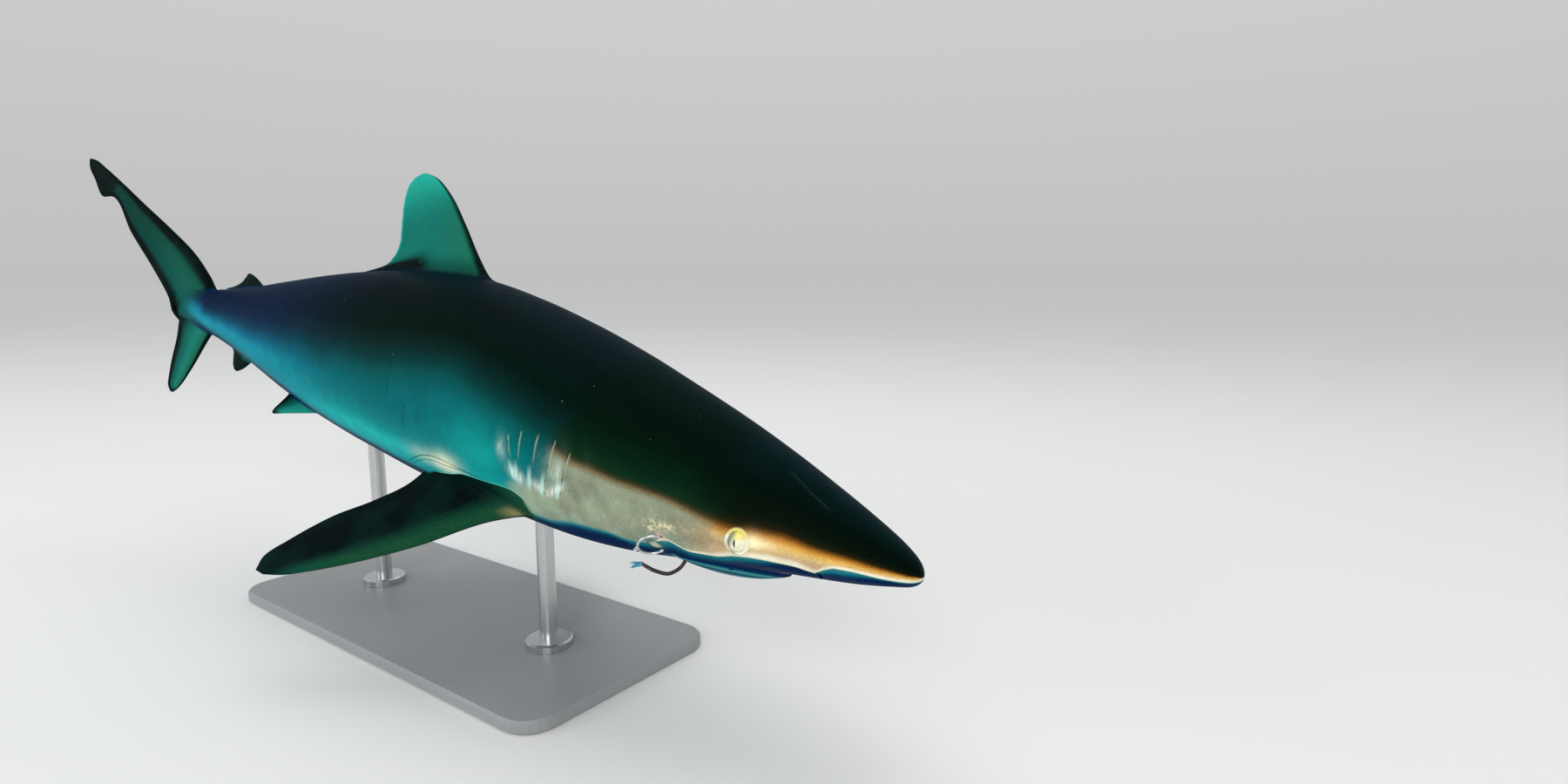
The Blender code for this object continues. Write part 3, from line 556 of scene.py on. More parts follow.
# The body's part of the UV map: its sides, and the heights of the snout's tip, the first ring, the
# row where the rings thin out, the row after it, the last ring and the end.
BODY_LEFT, BODY_RIGHT = 0.36, 0.99
TIP_V, FIRST_V, FINE_V, COARSE_V, LAST_V, END_V = 0.002, 0.01, 0.66, 0.664, 0.985, 0.995


def ring_block(stations, angles):
    """Rings of points on the finished skin; angles above 90 are on the left side."""
    s, a = np.meshgrid(stations, angles, indexing="ij")
    folded = np.where(a > 90.0, 180.0 - a, a)
    side = np.where(a > 90.0, -1.0, 1.0)
    outward = skin_normal(s, folded, side)
    return skin_point(s, folded, side) + outward * relief(s, folded, side)[..., None]


def make_body_skin():
    """One skin from the snout to the tail fin, with half as many points round it behind FINE_END."""
    stations, angles = ring_stations(), round_angles()
    split = int(np.searchsorted(stations, FINE_END))
    n, m = len(angles), len(angles) // 2
    points = np.concatenate([ring_block(stations[:split], angles).reshape(-1, 3),
                             ring_block(stations[split:], angles[::2]).reshape(-1, 3),
                             [SPINE.point(0.0, 0.0, 0.0)], [SPINE.point(BODY_END, 0.0, 0.0)]])
    start = split * n
    tip, end = len(points) - 2, len(points) - 1
    faces, fine = quads_between(split, n, 0, (BODY_LEFT, FIRST_V, BODY_RIGHT, FINE_V))
    more, coarse = quads_between(len(stations) - split, m, start,
                                 (BODY_LEFT, COARSE_V, BODY_RIGHT, LAST_V))
    faces, places = faces + more, [fine, coarse]

    def face(*corners):
        add_face(faces, places, BODY_LEFT, BODY_RIGHT, corners)

    last, tail = start - n, start + (len(stations) - split - 1) * m
    for i in range(m):
        u, v, w = i / m, (i + 0.5) / m, (i + 1) / m
        a, b, c = last + 2 * i, last + 2 * i + 1, last + (2 * i + 2) % n
        d, e = start + i, start + (i + 1) % m
        face((a, u, FINE_V), (b, v, FINE_V), (d, u, COARSE_V))
        face((b, v, FINE_V), (c, w, FINE_V), (e, w, COARSE_V), (d, u, COARSE_V))
    for i in range(n):
        face(((i + 1) % n, (i + 1) / n, FIRST_V), (i, i / n, FIRST_V), (tip, (i + 0.5) / n, TIP_V))
    for i in range(m):
        face((tail + i, i / m, LAST_V), (tail + (i + 1) % m, (i + 1) / m, LAST_V),
             (end, (i + 0.5) / m, END_V))
    return build("shark_skin", points, faces, places)


# ---------------------------------------------------------------- fins
class Fin:
    """One fin: its outline, where it stands, and how it is laid out."""

    def __init__(self, name, lead, trail, thickness, sink, place, fillet, spots, cell, taper=1.0,
                 ragged=0.0):
        self.name, self.thickness, self.taper = name, thickness, taper
        self.lead, self.trail = smooth_line(lead), smooth_line(trail)
        self.sink, self.place, self.fillet = sink, place, fillet
        self.spots, self.cell, self.ragged = spots, cell, ragged

    def row(self, share):
        """(back, out) of the two edges and the half thickness at a share, -1 to 1; below 0 is the
        buried root."""
        above = np.clip(share, 0.0, 1.0)
        front, rear = self.lead(above), self.trail(above)
        if self.sink:
            depth, rear_share = self.sink
            first, last = self.lead(0.0), self.trail(0.0)
            deep_front = first + (last - first) * ROOT_FRONT_SHARE - (0.0, depth)
            deep_rear = first + (last - first) * rear_share - (0.0, depth)
            t = np.clip(-share, 0.0, 1.0)[..., None]
            front, rear = front + (deep_front - first) * t, rear + (deep_rear - last) * t
        root, tip = self.thickness
        thick = tip + (root - tip) * (1 - above) ** self.taper
        return front, rear, thick

    def surface(self, share, chord, upper):
        """World points for arrays of shares, chord places and sides (1 or -1)."""
        front, rear, thick = self.row(share)
        wave = self.ragged * np.sin(share * 93.0 + 2.0 * np.sin(share * 23.0)) * ease(chord, 0.9, 1.0)
        wave = wave * ease(share, 0.03, 0.12) * ease(share, 1.0, 0.9)
        at = front + (rear - front) * chord[..., None]
        peak = math.sqrt(THICKEST_SHARE) * (1 - THICKEST_SHARE)
        swell = np.sqrt(chord) * (1 - chord) / peak
        half = (FIN_EDGE + thick * TOTAL_LENGTH * swell) / 2 / TOTAL_LENGTH
        return self.place(at[..., 0] + wave, at[..., 1], upper * half)


def on_back(origin, sign=1):
    def place(back, out, side):
        station = origin + back
        surface = body_top(station) if sign > 0 else body_bottom(station)
        return SPINE.point(station, side, sign * (surface + out))
    return place


def on_tail(back, out, side):
    return SPINE.point(CAUDAL_STATION + back, side, out)


def on_flank(station, angle, droop_deg, twist_deg, side):
    origin = skin_point(station, angle, side)
    droop, twist = math.radians(droop_deg), math.radians(twist_deg)
    middle = station + 0.03
    back = unit(SPINE.direction(middle, math.cos(twist), 0.0, -math.sin(twist)))
    out = SPINE.direction(middle, 0.0, side * math.cos(droop), -math.sin(droop))
    out = unit(out - back * (out @ back))
    normal = np.cross(back, out)

    def place(along, away, half):
        return origin + TOTAL_LENGTH * (along[..., None] * back + away[..., None] * out
                                        + np.asarray(half)[..., None] * normal)
    return place


CAUDAL_STATION = 0.746
FILLET_ROWS, SMALLEST_FILLET, FILLET_FADE = 7, 0.0008, (0.6, 0.36)
ROOT_LEVELS, FIN_LEVELS = 90, 260
ROOT_DEPTH, EVEN_ROWS = -0.003, 0.35


def crowded(count):
    """Shares from 0 to 1, closer together near both ends."""
    return 0.5 - 0.5 * np.cos(math.pi * np.linspace(0.0, 1.0, count))


def fin_grid(fin, chords, rows):
    """Rows of points round a fin, from inside the body to the tip, with a fillet at the skin."""
    chord = np.concatenate([crowded(chords), crowded(chords)[::-1]])
    upper = np.concatenate([np.ones(chords), -np.ones(chords)])
    fade = ease(chord, *FILLET_FADE) if fin.sink else np.ones_like(chord)
    radius = SMALLEST_FILLET + fin.fillet * fade
    levels = np.concatenate([np.linspace(-1.0, 0.0, ROOT_LEVELS)[:-1], np.linspace(0.0, 1.0, FIN_LEVELS)])
    depth = body_distance(fin.surface(*np.broadcast_arrays(levels[:, None], chord, upper)))[0]
    lift = EVEN_ROWS * np.linspace(0.0, 1.0, rows + 1) + (1.0 - EVEN_ROWS) * crowded(rows + 1)
    shares = np.empty((rows + FILLET_ROWS + 1, len(chord)))
    target = np.full_like(shares, np.nan)
    for k in range(len(chord)):
        column = depth[:, k]
        inside = np.nonzero(column < radius[k])[0]
        top = inside[-1] if len(inside) else 0
        skin = np.nonzero(column < 0.0)[0]
        bottom = skin[-1] if len(skin) else 0
        for row in range(FILLET_ROWS + 1):
            wanted = radius[k] * (row / FILLET_ROWS) ** 2
            if row == 0:
                level = np.nonzero(column < ROOT_DEPTH)[0]
                shares[0, k] = levels[level[-1]] if len(level) else levels[0]
                continue
            span = slice(bottom, min(top + 2, len(levels)))
            shares[row, k] = np.interp(wanted, np.maximum.accumulate(column[span]), levels[span])
            target[row, k] = wanted
        start = shares[FILLET_ROWS, k]
        shares[FILLET_ROWS + 1:, k] = start + (1.0 - start) * lift[1:]
    shares, chord_grid, upper_grid = np.broadcast_arrays(shares, chord, upper)
    grid = fin.surface(shares, chord_grid, upper_grid)
    # Outward direction of the fin, from the section's own shape.
    around = np.roll(grid, -1, 1) - np.roll(grid, 1, 1)
    along = np.gradient(grid, axis=0)
    normal = unit(np.cross(around, along))
    middle = grid.mean(1, keepdims=True)
    turned = ((grid - middle) * normal).sum((1, 2)).mean()
    normal = normal if turned > 0 else -normal
    distance, out, _, _ = body_distance(grid)
    near = np.clip(distance, 0.0, None)
    push = np.where(near < radius, (np.sqrt(radius) - np.sqrt(np.minimum(near, radius))) ** 2, 0.0)
    push = push * (1 - (normal * out).sum(-1) ** 2)
    sideways = unit(normal - out * (normal * out).sum(-1, keepdims=True))
    grid = grid + sideways * push[..., None]
    for _ in range(3):
        found, out, _, _ = body_distance(grid)
        goal = np.where(np.isnan(target), distance, target)
        goal[0] = ROOT_DEPTH
        fix = np.where(push > 1e-6, goal - found, 0.0)
        grid = grid + out * fix[..., None]
    return grid, shares, chord_grid, upper_grid


def make_fins():
    """The fins' skins, each with its own outline and place."""
    fins = [
        Fin("dorsal_1",
            lead=((0.0, 0.0), (0.019, 0.0165), (0.038, 0.036), (0.061, 0.058), (0.081, 0.071),
                  (0.0935, 0.0752)),
            trail=((0.15, 0.0008), (0.12, 0.0065), (0.1095, 0.022), (0.1125, 0.04),
                   (0.1145, 0.055), (0.1135, 0.0645), (0.1085, 0.0715), (0.1005, 0.0749)),
            thickness=(0.0125, 0.0015), sink=(0.016, 0.66), place=on_back(0.351), fillet=0.014,
            spots="dorsal", cell=(0.01, 0.01, 0.16, 0.24), ragged=0.0003),
        Fin("dorsal_2",
            lead=((0.0, 0.0), (0.012, 0.0065), (0.022, 0.011), (0.0305, 0.0138)),
            trail=((0.073, 0.001), (0.055, 0.003), (0.0435, 0.0062), (0.0375, 0.0105),
                   (0.0345, 0.0136)),
            thickness=(0.0045, 0.0008), sink=(0.006, 0.45), place=on_back(0.6555), fillet=0.005,
            spots="small", cell=(0.17, 0.01, 0.25, 0.12)),
        Fin("anal",
            lead=((0.0, 0.0), (0.009, 0.007), (0.019, 0.0145), (0.0285, 0.0192)),
            trail=((0.05, 0.001), (0.0425, 0.0045), (0.0405, 0.0105), (0.0385, 0.016),
                   (0.034, 0.0192)),
            thickness=(0.005, 0.0008), sink=(0.006, 0.55), place=on_back(0.6455, -1), fillet=0.005,
            spots="anal", cell=(0.26, 0.01, 0.34, 0.12)),
        Fin("caudal_upper",
            lead=((-0.03, 0.0165), (0.0, 0.0216), (0.017, 0.033), (0.0475, 0.0505),
                  (0.093, 0.07), (0.142, 0.0895), (0.186, 0.1075), (0.216, 0.119),
                  (0.235, 0.1252), (0.2425, 0.1258)),
            trail=((-0.03, -0.014), (0.006, -0.017), (0.0545, -0.015), (0.0714, -0.001),
                   (0.1097, 0.0275), (0.154, 0.058), (0.1965, 0.0905), (0.2095, 0.0885),
                   (0.23, 0.105), (0.244, 0.1195),
                   (0.245, 0.1238)),
            thickness=(0.013, 0.0012), sink=None, place=on_tail, fillet=0.01,
            spots="caudal_upper", cell=(0.01, 0.26, 0.16, 0.62), taper=1.3),
        Fin("caudal_lower",
            lead=((-0.012, -0.01), (-0.007, -0.0185), (0.003, -0.0345), (0.0175, -0.058),
                  (0.035, -0.081), (0.042, -0.086)),
            trail=((0.026, -0.002), (0.054, -0.0165), (0.0525, -0.033), (0.054, -0.058),
                   (0.053, -0.079), (0.0475, -0.0857)),
            thickness=(0.008, 0.001), sink=None, place=on_tail, fillet=0.01,
            spots="caudal_lower", cell=(0.17, 0.14, 0.34, 0.36)),
    ]
    for side, word, droop, cell in ((1, "right", 53.5, (0.01, 0.64, 0.16, 0.98)),
                                    (-1, "left", 26.0, (0.17, 0.64, 0.34, 0.98))):
        fins.append(Fin(
            "pectoral_" + word,
            lead=((0.0, 0.0), (0.021, 0.0155), (0.05, 0.0465), (0.084, 0.0765),
                  (0.11, 0.096), (0.123, 0.1045), (0.137, 0.111)),
            trail=((0.0945, 0.006), (0.0965, 0.018), (0.11, 0.0398), (0.129, 0.062),
                   (0.1435, 0.088), (0.1495, 0.103), (0.145, 0.1118)),
            thickness=(0.0115, 0.0014), sink=(0.03, 0.6), place=on_flank(0.219, -53.0, droop, -1.4, side),
            fillet=0.012, spots="pectoral", cell=cell))
    for side, word, cell in ((1, "right", (0.17, 0.38, 0.25, 0.5)),
                             (-1, "left", (0.26, 0.38, 0.34, 0.5))):
        fins.append(Fin(
            "pelvic_" + word,
            lead=((0.0, 0.0), (0.009, 0.0092), (0.0175, 0.018), (0.024, 0.0246)),
            trail=((0.044, 0.002), (0.0385, 0.008), (0.0335, 0.0155), (0.0295, 0.022),
                   (0.0262, 0.025)),
            thickness=(0.0055, 0.001), sink=(0.014, 0.62), place=on_flank(0.505, -76.0, 36.0, -15.0, side),
            fillet=0.006, spots="pelvic", cell=cell))
    return fins


FIN_SPOTS = ("none", "dorsal", "small", "anal", "caudal_upper", "caudal_lower", "pectoral", "pelvic")


def put(mesh, **fields):
    """Store numbers for the points of a mesh, by the names of their fields."""
    for name, values in fields.items():
        layer = mesh.attributes.get(name) or mesh.attributes.new(name, "FLOAT", "POINT")
        values = np.broadcast_to(np.ravel(values), len(mesh.vertices))
        layer.data.foreach_set("value", values.astype(np.float32))


def take(mesh, name):
    values = np.zeros(len(mesh.vertices), np.float32)
    mesh.attributes[name].data.foreach_get("value", values)
    return values


def places_of(mesh):
    places = np.empty(len(mesh.vertices) * 3, np.float32)
    mesh.vertices.foreach_get("co", places)
    return places.reshape(-1, 3).astype(float)


# ---------------------------------------------------------------- openings and lids
# Width, depth and lean of the cuts, in metres; how they taper; how far they reach outside; and how
# wide they are there and at their floor, as shares of the width at the skin.
GILL_CUT, MOUTH_CUT, NOSTRIL_CUT = (0.0015, 0.0065, 0.003), (0.0026, 0.009, 0.0), (0.0034, 0.007, 0.0025)
CUT_END, CUT_TAPER, CUT_LIP = 0.03, 0.6, 0.005
LIP_WIDTH, FLOOR_WIDTH = 1.3, 0.5
NOSTRIL_BOW = 0.0012


def blade(name, station, angle, side, cut, cell, floor_lean=None):
    """A thin curved cutter along places on the skin; it tapers to its ends, and its floor leans
    towards a direction."""
    wide, deep, lean = cut
    share = np.clip(np.linspace(0.0, 1.0, len(station)), CUT_END, 1.0 - CUT_END)
    taper = np.sin(math.pi * share)[:, None] ** CUT_TAPER
    normal, plain = skin_normal(station, angle, side), skin_point(station, angle, side)
    at = plain + normal * relief(station, angle, side)[:, None]
    spread = np.pad(plain, ((1, 1), (0, 0)), "edge")
    across = unit(np.cross(unit(spread[2:] - spread[:-2]), normal))
    if floor_lean is not None:
        wrong = (across * SPINE.direction(station, *floor_lean)).sum(-1) < 0
        across = np.where(wrong[:, None], -across, across)
    lip = at + normal * CUT_LIP
    floor = at - normal * deep * taper + across * lean
    half = across * wide * taper / 2
    levels = [(lip, LIP_WIDTH), (at, 1.0), (floor, FLOOR_WIDTH)]
    rows = [place + half * share for place, share in levels]
    rows += [place - half * share for place, share in reversed(levels)]
    made = shell(name, np.stack(rows, 1), cell, ends="fan")
    # The cutter's faces carry this mark, so the skin can be darkened inside the cut as painted shade.
    put(made.data, inner=1.0)
    return made


def gill_blades():
    made = []
    share = np.linspace(0.0, 1.0, 30)
    for number, slit in enumerate(GILL_SLITS):
        angle = slit[0][1] + (slit[1][1] - slit[0][1]) * share
        for side, low in ((1, 0.51), (-1, 0.54)):
            left = 0.17 + 0.016 * number
            made.append(blade("gill", gill_station(slit, share), angle, side, GILL_CUT,
                              (left, low, left + 0.014, low + 0.02), (-1.0, 0.0, 0.0)))
    return made


def mouth_blade():
    """Cutter along the mouth from the right corner round the front to the left corner."""
    run = np.linspace(-1.0, 1.0, 121)
    station = MOUTH_FRONT + (MOUTH_CORNER - MOUTH_FRONT) * run ** 2
    right = np.sign(run) * MOUTH_HALF_WIDTH * np.abs(run) ** (2 * MOUTH_ROUNDING)
    across = np.minimum(1.0, np.abs(right) / body_side(station))
    # The relief steps at this very line, so its shape hangs on how math rounds the angles.
    angle = np.array([-math.degrees(math.acos(share)) for share in across])
    return blade("mouth", station, angle, np.where(right < 0, -1, 1), MOUTH_CUT, (0.27, 0.51, 0.34, 0.56))


def nostril_blades():
    made = []
    share = np.linspace(0.0, 1.0, 14)
    station, angle = (outer + (inner - outer) * share for outer, inner in zip(NOSTRIL_OUTER, NOSTRIL_INNER))
    station = station - NOSTRIL_BOW * np.sin(math.pi * share)
    for side, left in ((1, 0.2), (-1, 0.17)):
        made.append(blade("nostril", station, angle, side, NOSTRIL_CUT, (left, 0.57, left + 0.025, 0.6),
                          (1.0, 0.0, 0.0)))
    return made


def ball(name, centre, radius, segments, rings, cell):
    turn = np.linspace(0.0, 2 * math.pi, segments, endpoint=False)
    lift = np.linspace(-math.pi / 2, math.pi / 2, rings + 1)[1:-1]
    grid = np.stack([np.cos(lift)[:, None] * np.cos(turn), np.cos(lift)[:, None] * np.sin(turn),
                     np.sin(lift)[:, None] + 0 * turn], -1)
    return shell(name, grid * radius + centre, cell, ends="fan")


def eye_axes(side):
    """Skin place, outward, forward and upward directions at an eye, and the ball's centre."""
    surface = skin_point(EYE_STATION, EYE_ANGLE, side)
    outward = skin_normal(EYE_STATION, EYE_ANGLE, side)
    ahead = SPINE.direction(EYE_STATION, -1.0, 0.0, 0.0)
    ahead = unit(ahead - outward * (ahead @ outward))
    upward = np.cross(outward, ahead)
    if upward @ SPINE.direction(EYE_STATION, 0.0, 0.0, 1.0) < 0:
        upward = -upward
    return surface, outward, ahead, upward, surface - outward * EYE_DEPTH


# The lids in section, from the skirt inwards: distance from the eye's axis and height, in
# millimetres, and whether the height is over the skin (0) or the eyeball (1).
LID_PROFILE = (
    (19.5, -0.9, 0), (18.2, -0.1, 0), (17.3, 0.03, 0), (16.7, 0.02, 0), (16.25, -0.25, 0),
    (15.95, -0.6, 0), (15.65, -0.25, 0), (15.2, 0.35, 0), (14.6, 0.8, 0), (13.9, 0.95, 0),
    (13.3, 0.75, 0.25), (12.8, 0.85, 0.6), (12.3, 0.85, 0.9), (11.95, 0.6, 1), (11.7, 0.15, 1),
    (11.6, -0.5, 1), (12.4, -2.5, 1), (15.0, -4.6, 0), (19.0, -4.6, 0),
)
# The opening is upright and narrow, the outer fold nearly round.
LID_WIDE, LID_TALL = (0.86, 0.905), (1.075, 1.015)
LID_LIP, LID_FOLD = 11.6, 16.0
LOWER_FOLD_TURN_DEG, LOWER_FOLD_REACH, LOWER_FOLD_DEPTH, LOWER_FOLD_WIDTH_DEG = 222.0, 13.3, 0.9, 60.0
WELL_REACH, WELL_TOP, WELL_FLOOR, SOCKET_GAP = 0.0172, 0.012, -0.0036, 0.0001
LID_POINTS, WELL_POINTS = 88, 48
WELL_CELL, SOCKET_CELL = (0.17, 0.605, 0.2, 0.62), (0.205, 0.605, 0.225, 0.62)


def lid_scale(reach, ends):
    return np.interp(reach, (LID_LIP, LID_FOLD), ends)


def on_relief(points, outward, side):
    """Points moved along a direction onto the finished skin."""
    for _ in range(4):
        distance, out, station, angle = body_distance(points)
        gap = distance - relief(station, angle, side)
        points = points - outward * (gap / np.maximum((out * outward).sum(-1), 0.2))[..., None]
    return points


def lid_ring(side):
    surface, outward, ahead, upward, _ = eye_axes(side)
    turn = np.linspace(0.0, 2 * math.pi, LID_POINTS, endpoint=False)
    away = np.degrees(np.angle(np.exp(1j * (turn - math.radians(LOWER_FOLD_TURN_DEG)))))
    fold = LOWER_FOLD_DEPTH * bell(away, LOWER_FOLD_WIDTH_DEG)
    rows = []
    for reach, height, hug in LID_PROFILE:
        wide, tall = lid_scale(reach, LID_WIDE), lid_scale(reach, LID_TALL)
        spread = circle(LID_POINTS, wide * ahead, tall * upward) * reach * 0.001
        lift = np.full(len(turn), height) - (fold if reach == LOWER_FOLD_REACH else 0.0)
        over_skin = on_relief(surface + spread, outward, side) + outward * lift[:, None] * 0.001
        away = np.minimum((spread ** 2).sum(-1), 0.9 * EYE_RADIUS ** 2)
        over_ball = surface + spread
        over_ball = over_ball + outward * (np.sqrt(EYE_RADIUS ** 2 - away) - EYE_DEPTH
                                           + lift * 0.001)[:, None]
        rows.append(over_skin * (1 - hug) + over_ball * hug)
    left = 0.23 + 0.05 * (side > 0)
    return shell("lid", np.array(rows), (left, 0.57, left + 0.04, 0.62), ends="ring")


def eye_well(side):
    """Cutter for the skin that the lids replace."""
    surface, outward, ahead, upward, _ = eye_axes(side)
    flat = circle(WELL_POINTS, LID_WIDE[1] * ahead, LID_TALL[1] * upward)
    rows = [surface + flat * WELL_REACH + outward * height for height in (WELL_TOP, WELL_FLOOR)]
    return shell("well", np.array(rows), WELL_CELL, ends="fan")


# ---------------------------------------------------------------- whole skin
# How many points each fin has along its chord and from root to tip.
FIN_DETAIL = {
    "dorsal_1": (22, 48), "dorsal_2": (12, 14), "anal": (12, 14), "caudal_upper": (22, 56),
    "caudal_lower": (20, 30), "pectoral_right": (24, 46), "pectoral_left": (24, 46),
    "pelvic_right": (13, 18), "pelvic_left": (13, 18),
}


def make_skin():
    skin = make_body_skin()
    put(skin.data, known=1.0)
    for side in (1, -1):
        combine(skin, eye_well(side), "DIFFERENCE")
        combine(skin, lid_ring(side), "UNION")
        socket = ball("socket", eye_axes(side)[4], EYE_RADIUS + SOCKET_GAP, 48, 24, SOCKET_CELL)
        combine(skin, socket, "DIFFERENCE")
    for cutter in gill_blades() + [mouth_blade()] + nostril_blades():
        combine(skin, cutter, "DIFFERENCE")
    for fin in make_fins():
        grid, shares, chord, upper = fin_grid(fin, *FIN_DETAIL[fin.name])
        item = shell(fin.name, grid, fin.cell)
        put(item.data, known=1.0, fin_kind=FIN_SPOTS.index(fin.spots), fin_share=shares, fin_chord=chord,
            fin_upper=-upper if fin.name.endswith("left") else upper)
        combine(skin, item, "UNION")
    return skin


# ---------------------------------------------------------------- markings
RIM_WIDTH = (
    (0.0, 0.004), (0.03, 0.0034), (0.036, 0.0028), (0.043, 0.004), (0.05, 0.0075), (0.07, 0.008),
    (0.092, 0.0072), (0.106, 0.005), (0.12, 0.0034), (0.14, 0.003), (0.9, 0.003),
)
KEEL_SOFTNESS = (
    (0.0, 0.001), (0.05, 0.0014), (0.12, 0.002), (0.15, 0.006), (0.22, 0.011), (0.4, 0.016), (0.9, 0.01),
)
# How far below the keel the teal of the underside reaches; the underside's teal and navy are painted shade.
TEAL_REACH = (
    (0.0, 0.003), (0.02, 0.008), (0.032, 0.019), (0.042, 0.019), (0.047, 0.0016), (0.056, 0.0016),
    (0.062, 0.008), (0.072, 0.024), (0.09, 0.036), (0.125, 0.03), (0.15, 0.018), (0.26, 0.03),
    (0.9, 0.03),
)
# Patches with soft edges, each with rows of its strength, place, reach in metres and slant.
SOFT_SPOTS = {
    "white": ((1.0, (0.2115, -16.0), (0.0125, 0.0085), 0.5), (0.9, (0.1835, -15.5), (0.006, 0.012), -0.8),
              (0.55, (0.195, -17.5), (0.009, 0.007), 0.4), (0.45, (0.1838, -3.0), (0.007, 0.012)),
              (0.45, (0.2262, -3.5), (0.0065, 0.011), 0.3)),
    "bright": ((0.5, (0.248, -12.0), (0.06, 0.032)),),
    "axil": ((1.0, (0.28, -32.5), (0.029, 0.015), -0.3), (0.45, (0.302, -34.0), (0.04, 0.012), -0.4)),
    "shade": ((0.8, (0.1735, -9.0), (0.009, 0.026), 0.55), (0.5, (0.156, -8.0), (0.008, 0.024), 0.7)),
    "taupe": ((0.6, (0.0975, -20.0), (0.02, 0.014)), (0.45, (0.108, -9.0), (0.026, 0.014))),
    # Glow is a painted highlight ahead of the eye.
    "glow": ((1.1, (0.0752, -5.5), (0.009, 0.0105)), (0.6, (0.07, -1.5), (0.015, 0.007))),
    # A painted shadow on the fold of the lower lip.
    "jaw_shadow": ((1.0, (0.0925, -68.5), (0.0034, 0.0024)),),
    "scuff": ((1.0, (0.1195, -15.5), (0.016, 0.0085), -0.4), (0.6, (0.126, -22.0), (0.008, 0.006))),
    "tear": ((1.0, HOOK_TEAR, (0.0019, 0.0036), 0.2),),
    "lip": ((1.0, HOOK_TEAR, (0.0046, 0.0068), 0.2),),
    "swollen": ((1.0, HOOK_BULGE, (0.009, 0.009)),),
}
RIGHT_SIDE_ONLY = ("scuff", "tear", "lip", "swollen")


def body_fields(mesh):
    """Store the fields that the skin's material draws the body's markings from."""
    points = places_of(mesh)
    distance, _, station, angle = body_distance(points)
    side = np.where(SPINE.find(points)[1] >= 0, 1.0, -1.0)
    scale = arc_metres(station, angle)
    lift = angle + (10.0 - back_edge(station)) * ease(angle, -25.0, 2.0) * ease(angle, 90.0, 45.0)
    above_keel = (angle - keel_angle(station)) * scale
    fold = (angle - axil_fold(station)) * scale
    mouth = mouth_reach(station, body_side(station) * np.cos(np.radians(angle)))
    ahead, above = np.full(len(points), FAR_FROM_EYES), np.full(len(points), FAR_FROM_EYES)
    for sign in (1, -1):
        surface, _, forward, upward, _ = eye_axes(sign)
        here = (side == sign) & (station < 0.2)
        ahead[here] = (points[here] - surface) @ forward
        above[here] = (points[here] - surface) @ upward
    put(mesh, station=station, rise=angle, lift=(lift + 90.0) / 180.0,
        keel=above_keel / at_station(KEEL_SOFTNESS, station),
        rim=above_keel / at_station(RIM_WIDTH, station),
        under=-above_keel / at_station(TEAL_REACH, station),
        mouth=np.where((angle < -28.0) & (station < 0.16), mouth, FAR_FROM_MOUTH),
        fold=fold, low_fold=fold + 0.0075 * ease(station, 0.254, 0.288),
        axil_line=(angle - fin_line(station)) * scale, gill_share=gill_place(station, angle)[1],
        eye_ahead=ahead, eye_above=above, right=side > 0)
    for number, slit in enumerate(GILL_SLITS):
        put(mesh, **{f"gill_{number}": gill_gap(slit, station, angle)[0]})
    for name, rows in SOFT_SPOTS.items():
        total = sum(strength * spot(station, angle, *patch) for strength, *patch in rows)
        here = (side > 0) if name in RIGHT_SIDE_ONLY else 1.0
        put(mesh, **{name: here * np.clip(total, 0.0, 1.0)})
    return distance


def fin_looks(share, chord, upper):
    """How dark, green, bright and pale each kind of fin is, at shares of its length and chord."""
    rear_patch = ease(share, 0.36, 0.1) * ease(chord, 0.34, 0.56)
    margin = np.maximum(ease(chord, 0.24, 0.04), ease(chord, 0.7, 0.93))
    edges = np.maximum(ease(chord, 0.58, 0.92), ease(chord, 0.07, 0.01))
    over = 0.97 - 0.42 * ease(chord, 0.34, 0.04) * ease(share, 0.98, 0.8)
    below = ease(share, 0.8, 0.97) + 0.5 * ease(chord, 0.8, 0.97) + ease(chord, 0.06, 0.015)
    green = 0.75 * ease(chord, 0.42, 0.03) * ease(share, 1.0, 0.6)
    return {
        "dorsal": (
            np.maximum(ease(chord, 0.04, 0.012), rear_patch) + 0.65 * ease(share, 0.24, 0.0),
            0.4 * ease(chord, 0.4, 0.05) * ease(share, 0.9, 0.3),
            0.12 + 0.6 * ease(share, 0.5, 0.98) + 0.6 * ease(chord, 0.95, 0.99) * ease(share, 0.2, 0.4),
            0.0),
        "small": (
            0.97 - 0.6 * ease(share, 0.16, 0.0) * ease(chord, 0.5, 0.8), 0.0,
            0.5 * ease(share, 0.1, 0.0) * ease(chord, 0.55, 0.85), 0.0),
        "anal": (
            0.55 + ease(share, 0.15, 0.5) + ease(chord, 0.35, 0.6), 0.0,
            0.35 * ease(share, 0.4, 0.1), 0.0),
        "caudal_upper": (
            margin + 0.34 + 0.34 * ease(share, 0.25, 0.7) + ease(share, 0.78, 0.87),
            0.25 * bell(chord - 0.3, 0.22),
            0.1 * bell(chord - 0.42, 0.16) * ease(share, 0.6, 0.2), 0.0),
        "caudal_lower": (
            edges + 0.15 + 0.9 * ease(share, 0.88, 0.98),
            0.5 * bell(chord - 0.13, 0.12),
            0.3 * bell(chord - 0.26, 0.2), 0.0),
        "pectoral": (
            np.where(upper > 0, over, below), np.where(upper > 0, green, 0.0), 0.0,
            np.where(upper > 0, 0.0, 0.8)),
        "pelvic": (
            ease(chord, 0.55, 0.9) + ease(share, 0.75, 1.0), 0.0,
            0.45 * ease(chord, 0.6, 0.2), np.where(upper > 0, 0.0, 0.6)),
    }


